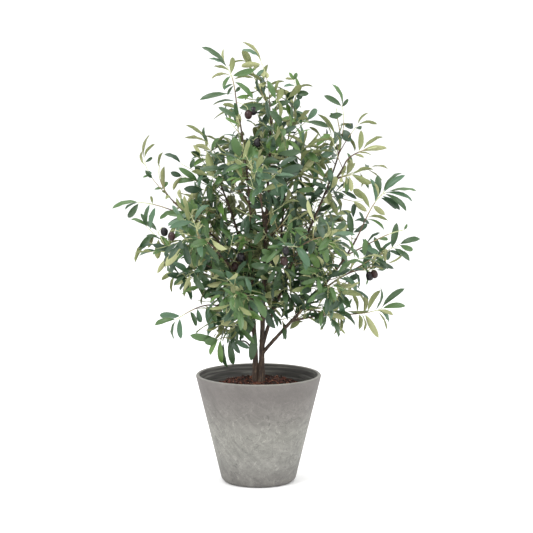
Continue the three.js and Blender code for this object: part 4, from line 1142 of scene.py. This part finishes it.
def leafMeshes(leaves, form, draw):
    # One blade for each row, from stations along it and five columns across it. The middle line starts
    # along the leaf's way and bends back from its face, to one side and about itself at even rates. The
    # half width is x^0.86 (1-x)^0.72 past a narrow stalk, and the halves fold up a little from the middle.
    column = lambda key: np.array([one[key] for one in leaves])
    root, way, normal, size, fold = (column(key) for key in ("root", "way", "face", "size", "fold"))
    u, v = np.array(form["stations"]), np.array(form["across"])
    count, rows, columns = len(leaves), len(u), len(v)
    side = np.cross(normal, way)
    bend, sickle, twist = (column(key)[:, None] * u for key in ("bend", "sickle", "twist"))
    tangent = (
        way[:, None] * (np.cos(bend) * np.cos(sickle))[..., None]
        + side[:, None] * (np.cos(bend) * np.sin(sickle))[..., None]
        - normal[:, None] * np.sin(bend)[..., None])
    stepLengths = np.diff(u)[None, :] * (form["length"] * size)[:, None]
    steps = (tangent[:, 1:] + tangent[:, :-1]) / 2 * stepLengths[..., None]
    middle = root[:, None] + np.concatenate([np.zeros((count, 1, 3)), np.cumsum(steps, axis=1)], axis=1)
    flatSide = unit(side[:, None] - tangent * np.sum(side[:, None] * tangent, axis=2, keepdims=True))
    across = swungRound(flatSide, np.cross(tangent, flatSide), twist)
    upward = np.cross(tangent, across)
    stalkShare = column("stalk")[:, None]
    x = np.clip((u - stalkShare) / (1 - stalkShare), 0, 1)
    shape = x ** form["fullness"][0] * (1 - x) ** form["fullness"][1]
    stalk = form["stalkWidth"] / 2 * np.where(u > 0.5, form["pointWidth"], 1.0)
    widest = (form["width"] / 2 * column("slim") * size)[:, None]
    halfWidth = np.maximum(widest * (shape / shape.max()), stalk)
    ripple = form["wave"] * draw.normal(0, 1, (count, rows, 2))
    lift = fold[:, None, None] * np.abs(v) + ripple[..., np.where(v > 0, 1, 0)] * np.array(form["ripple"])
    top = (
        middle[:, :, None] + across[:, :, None] * (halfWidth[..., None] * v)[..., None]
        + upward[:, :, None] * (halfWidth[..., None] * lift)[..., None])
    thick = upward[:, 1:-1, None] * form["thick"] / 2
    under = top[:, 1:-1, 1:-1] - thick
    top[:, 1:-1, 1:-1] += thick
    upper = np.arange(rows * columns).reshape(rows, columns)
    lower = upper.copy()
    lower[1:-1, 1:-1] = rows * columns + np.arange((rows - 2) * (columns - 2)).reshape(rows - 2, columns - 2)
    upperQuads, lowerQuads = gridQuads(upper), gridQuads(lower)[:, [0, 3, 2, 1]]
    points = np.concatenate([top.reshape(count, -1, 3), under.reshape(count, -1, 3)], axis=1)
    quads = copies(np.concatenate([upperQuads, lowerQuads]), count, points.shape[1])
    isStalk = np.tile(np.arange(len(upperQuads)) < columns - 1, 2)
    isUnder = np.repeat([False, True], len(upperQuads))
    return points.reshape(-1, 3), quads, isStalk, isUnder


def leafMaterials():
    # Printed polyester satin: a soft even sheen above in greens that differ from spray to spray, and a dry
    # pale face below. The stalks are moulded polythene, which looks smooth and pale.
    return (
        plainLooks("printed_polyester_", upperColours, 0.4, 1.45)
        + plainLooks("polyester_underside_", underColours, 0.72, 1.5)
        + plainLooks("moulded_polythene_", {"stalk": "bcc196"}, 0.5, 1.5))


def massSprays(row, place):
    # The shoot of a mass, its twigs and their finer twigs
    mass = layOutMass(row, place, limbs)
    random, thick = mass["leafRandom"], (mass["base"], shoot["thick"][1])
    twigs = clearTwigs(layOutTwigs(mass))
    fine = clearTwigs(layOutFineTwigs(mass, twigs))
    found = [newSpray(mass["curve"], shoot, random, thick, shownOnMass.get(mass["name"], ()))]
    found += [newSpray(curve, twig, random) for curve in twigs]
    return found + [newSpray(curve, fineTwig, random) for curve in fine]


def limbSprays(limb, seed):
    # The twigs that a limb bears itself
    random = seededRandom(seed)
    return [newSpray(curve, limbTwig, random) for curve in clearTwigs(layOutLimbTwigs(limb, random))]


outerRandom = seededRandom(outerTwig["seed"])
sprays = [newSpray(layOutOuterTwig(row, limbs), outerTwig, outerRandom, shown=row[6]) for row in outerRows]
for place, row in enumerate(massRows):
    sprays += massSprays(row, place)

# Olives: x and z of each fruit as the photo shows it, and the side that its twig is looked for on
olive = {
    "radius": 10.0, "stretch": 1.22, "sides": 22, "rings": 14, "stalk": 15.0, "stalkRadius": 0.8,
    "stalkSides": 6, "stalkStep": 4.0, "stalkEnd": 0.97, "tilt": 0.2, "aside": (0.3, 1.0, 0.2),
    "sizes": (0.92, 1.06), "pole": 0.03,  # the first ring's angle off the axis, which leaves a pinhole
    "wrinkle": 0.03, "folds": 5, "sway": 2.2, "fineWrinkle": 0.6, "fineFolds": 9, "slant": 3, "phases": 6.3,
    "clear": 5.0, "clearInView": 7.0, "seed": 5,
    "spots": (0.2, 0.9, 8), "nearTwig": 24.0, "pastNear": 3.0, "outermost": 0.35, "off": 7.0,
    "near": (
        (-245, 659), (-226, 647), (-46, 593), (-61, 569), (71, 610), (67, 582), (290, 543), (302, 548),
        (-13, 974), (-26, 963), (-2, 891)),
    "far": ((140, 640), (128, 618), (-150, 720), (-162, 700)),
}


def hangOlives(form):
    # Each fruit hangs on the twig that passes nearest over its place, and of those near by the outermost
    spots = np.concatenate([pointAt(one["curve"], np.linspace(*form["spots"])) for one in sprays])
    seenX, seenZ = seenFrom(spots)
    hung = []
    for near, sign in ((True, -1), (False, 1)):
        for x, z in form["near" if near else "far"]:
            off = np.hypot(seenX - x, seenZ - (z + form["radius"] + form["stalk"]))
            worse = form["pastNear"] * np.maximum(0, off - form["nearTwig"])
            root = spots[np.argmin(off - form["outermost"] * sign * spots[:, 1] + worse)]
            hung.append({"centre": seenAt(x, z, root[1] + sign * form["off"]), "root": root, "near": near})
    return hung


hung = hangOlives(olive)
for place, limb in enumerate(limbs.values()):
    sprays += limbSprays(limb, place + limbTwig["seed"])
print("twigs laid out:", len(sprays))
allLeaves = growLeaves(sprays, hung)
print("leaves grown:", len(allLeaves))

leafTones = np.array([list(greens).index(one["green"]) for one in allLeaves])
leafUnders = len(greens) + np.array([list(undersides).index(one["under"]) for one in allLeaves])
leafLooks = leafMaterials()
leafPoints, leafQuads, isStalk, isUnder = leafMeshes(allLeaves, leaf, np.random.default_rng(leaf["meshSeed"]))
faceTones = np.where(isUnder[None], leafUnders[:, None], leafTones[:, None])
slots = np.where(isStalk[None], len(leafLooks) - 1, faceTones)
cornersEach, facesEach = len(leafPoints) // len(allLeaves), len(isStalk)
piecesNeeded = int(np.ceil(len(leafQuads) * 2 / leaf["mostTriangles"]))
for i, batch in enumerate(np.array_split(np.arange(len(allLeaves)), piecesNeeded)):
    a, b = batch[0], batch[-1] + 1
    newPiece(
        "leaves_" + "abcdefgh"[i], leafPoints[a * cornersEach:b * cornersEach],
        leafQuads[a * facesEach:b * facesEach] - a * cornersEach, leafLooks, slots[a:b].ravel(),
        leaf["sharp"])
    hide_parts(*[row[0] for row in massRows])


def twigRadius(thick, thin):
    # The radius shrinks evenly along the twig, with low knots that wind round it
    size, around, along = twig["knots"]
    return lambda share, angle: (
        (thick + (thin - thick) * share) * (1 + size * np.sin(around * angle + along * share)))


def evenRadius(radius):
    # The same radius all along
    return lambda share, angle: np.full(np.broadcast(share, angle).shape, radius)


# Polythene moulded over wire: smooth, faintly waxy and duller where it is coloured, brown on the thick part,
# then tan, and a pale green at the end
twigLooks = (
    plainLooks("twig_", {"brown_polythene": "594436"}, 0.7, 1.5)
    + plainLooks("twig_", {"tan_polythene": "8a7c58"}, 0.65, 1.5)
    + plainLooks("twig_", {"green_polythene": "b3b98a"}, 0.55, 1.5))
twigTubes, twigSlots = [], []
for spray in sprays:
    points, quads = sweep(spray["curve"], twig["sides"], twig["stepLength"], twigRadius(*spray["thick"]))
    share = (quads[:, 0] // twig["sides"]) / (len(points) / twig["sides"] - 1)
    brownUntil, tanUntil = spray["bark"]
    twigTubes.append((points, quads))
    twigSlots.append(np.where(share < brownUntil, 0, np.where(share < tanUntil, 1, 2)))
twigPiece = newPiece("twigs", *joined(twigTubes), twigLooks, np.concatenate(twigSlots))
print("twigs made")


# the olives

def oliveMeshes(form, hung):
    # Each fruit is a ball stretched along its hanging axis, its radius 1 + w sin(polar) (sin(folds) + f
    # sin(fine)) of its own with shallow wrinkles, on a thin stalk that runs from its twig to its crown
    draw = np.random.default_rng(form["seed"])
    polar = np.linspace(form["pole"], np.pi - form["pole"], form["rings"])[:, None]
    angle = roundAngles(form["sides"])[None]
    fruits, stalks = [], []
    for fruit in hung:
        axis = unit(np.array([draw.normal(0, form["tilt"]), draw.normal(0, form["tilt"]), 1.0]))
        phase = draw.random(3) * form["phases"]
        folds = form["folds"] * angle + form["sway"] * np.sin(2 * polar + phase[0]) + phase[1]
        fine = form["fineFolds"] * angle - form["slant"] * polar + phase[2]
        wrinkle = 1 + form["wrinkle"] * (
            np.sin(folds) * np.sin(polar) + form["fineWrinkle"] * np.sin(fine) * np.sin(polar))
        first = unit(np.cross(axis, form["aside"]))
        ring = swungRound(first, np.cross(axis, first), angle)
        radius = form["radius"] * draw.uniform(*form["sizes"])
        points = fruit["centre"] + radius * (
            ring * (np.sin(polar) * wrinkle)[..., None]
            - axis * (np.cos(polar) * form["stretch"])[..., None])
        fruits.append((points.reshape(-1, 3), ringQuads(form["rings"], form["sides"])))
        top = fruit["centre"] + axis * radius * form["stretch"] * form["stalkEnd"]
        curve = bentCurve(fruit["root"], unit(top - fruit["root"] + up * form["stalk"]), top, -axis)
        stalks.append(sweep(curve, form["stalkSides"], form["stalkStep"], evenRadius(form["stalkRadius"])))
    return fruits, stalks


fruits, stalks = oliveMeshes(olive, hung)
# Foam moulded and lacquered: nearly black with a soft gloss, and every second fruit a little redder
oliveLooks = plainLooks("moulded_foam_olive_", {"black": "19161a", "red": "2f1b1a"}, 0.34, 1.4)
points, quads = joined(fruits + stalks)
fruitTones = np.full(len(quads), 2)
fruitFaces = len(fruits[0][1])
fruitTones[:len(fruits) * fruitFaces] = np.repeat(np.arange(len(fruits)) % 2, fruitFaces)
olives = newPiece("olives", points, quads, oliveLooks + [twigLooks[2]], fruitTones)
print("olives made")


# floor, light and camera

studio = {
    "floorSize": 60000.0, "sky": 1.24, "farthest": 60.0,
    # name, energy in watts, size in metres, place, and the point that it faces
    "lamps": (
        ("key", 105.0, 1.8, (-2.3, -2.8, 3.4), (0, 0, 0.6)),
        ("fill", 52.0, 2.4, (3.2, -1.6, 2.3), (0, 0, 0.6)),
        ("top", 45.0, 2.2, (0.2, 0.2, 3.8), (0, 0, 0.4))),
}

half = studio["floorSize"] / 2
corners = np.array([[-half, -half, 0], [half, -half, 0], [half, half, 0], [-half, half, 0]])
floorMesh = bpy.data.meshes.new("floor")
floorMesh.from_pydata((corners * mm).tolist(), [], [(0, 1, 2, 3)])
floorMesh.materials.append(newMaterial("floor_white_paper", "fafafa", 0.9, 1.45)[0])  # matt and even
floor = inScene("floor", floorMesh)

world = bpy.data.worlds.new("white_sky")
world.use_nodes = True
sky = next(n for n in world.node_tree.nodes if n.type == "BACKGROUND")
sky.inputs["Color"].default_value = (1.0, 1.0, 1.0, 1.0)
sky.inputs["Strength"].default_value = studio["sky"]
bpy.context.scene.world = world

for name, watts, width, place, target in studio["lamps"]:
    lamp = bpy.data.lights.new(name, "AREA")
    lamp.energy = watts
    lamp.size = width
    holder = inScene(name, lamp)
    holder.location = place
    holder.rotation_euler = (Vector(target) - Vector(place)).to_track_quat("-Z", "Y").to_euler()

lensData = bpy.data.cameras.new("camera")
lensData.lens = camera["lens"]
lensData.sensor_width = camera["sensor"]
lensData.clip_end = studio["farthest"]
cameraObject = inScene("camera", lensData)
cameraObject.location = np.array(camera["place"]) * mm
cameraObject.rotation_euler = (math.radians(90 - camera["pitch"]), 0, 0)
bpy.context.scene.camera = cameraObject
bpy.context.scene.view_settings.view_transform = "Standard"
print("camera and light set")
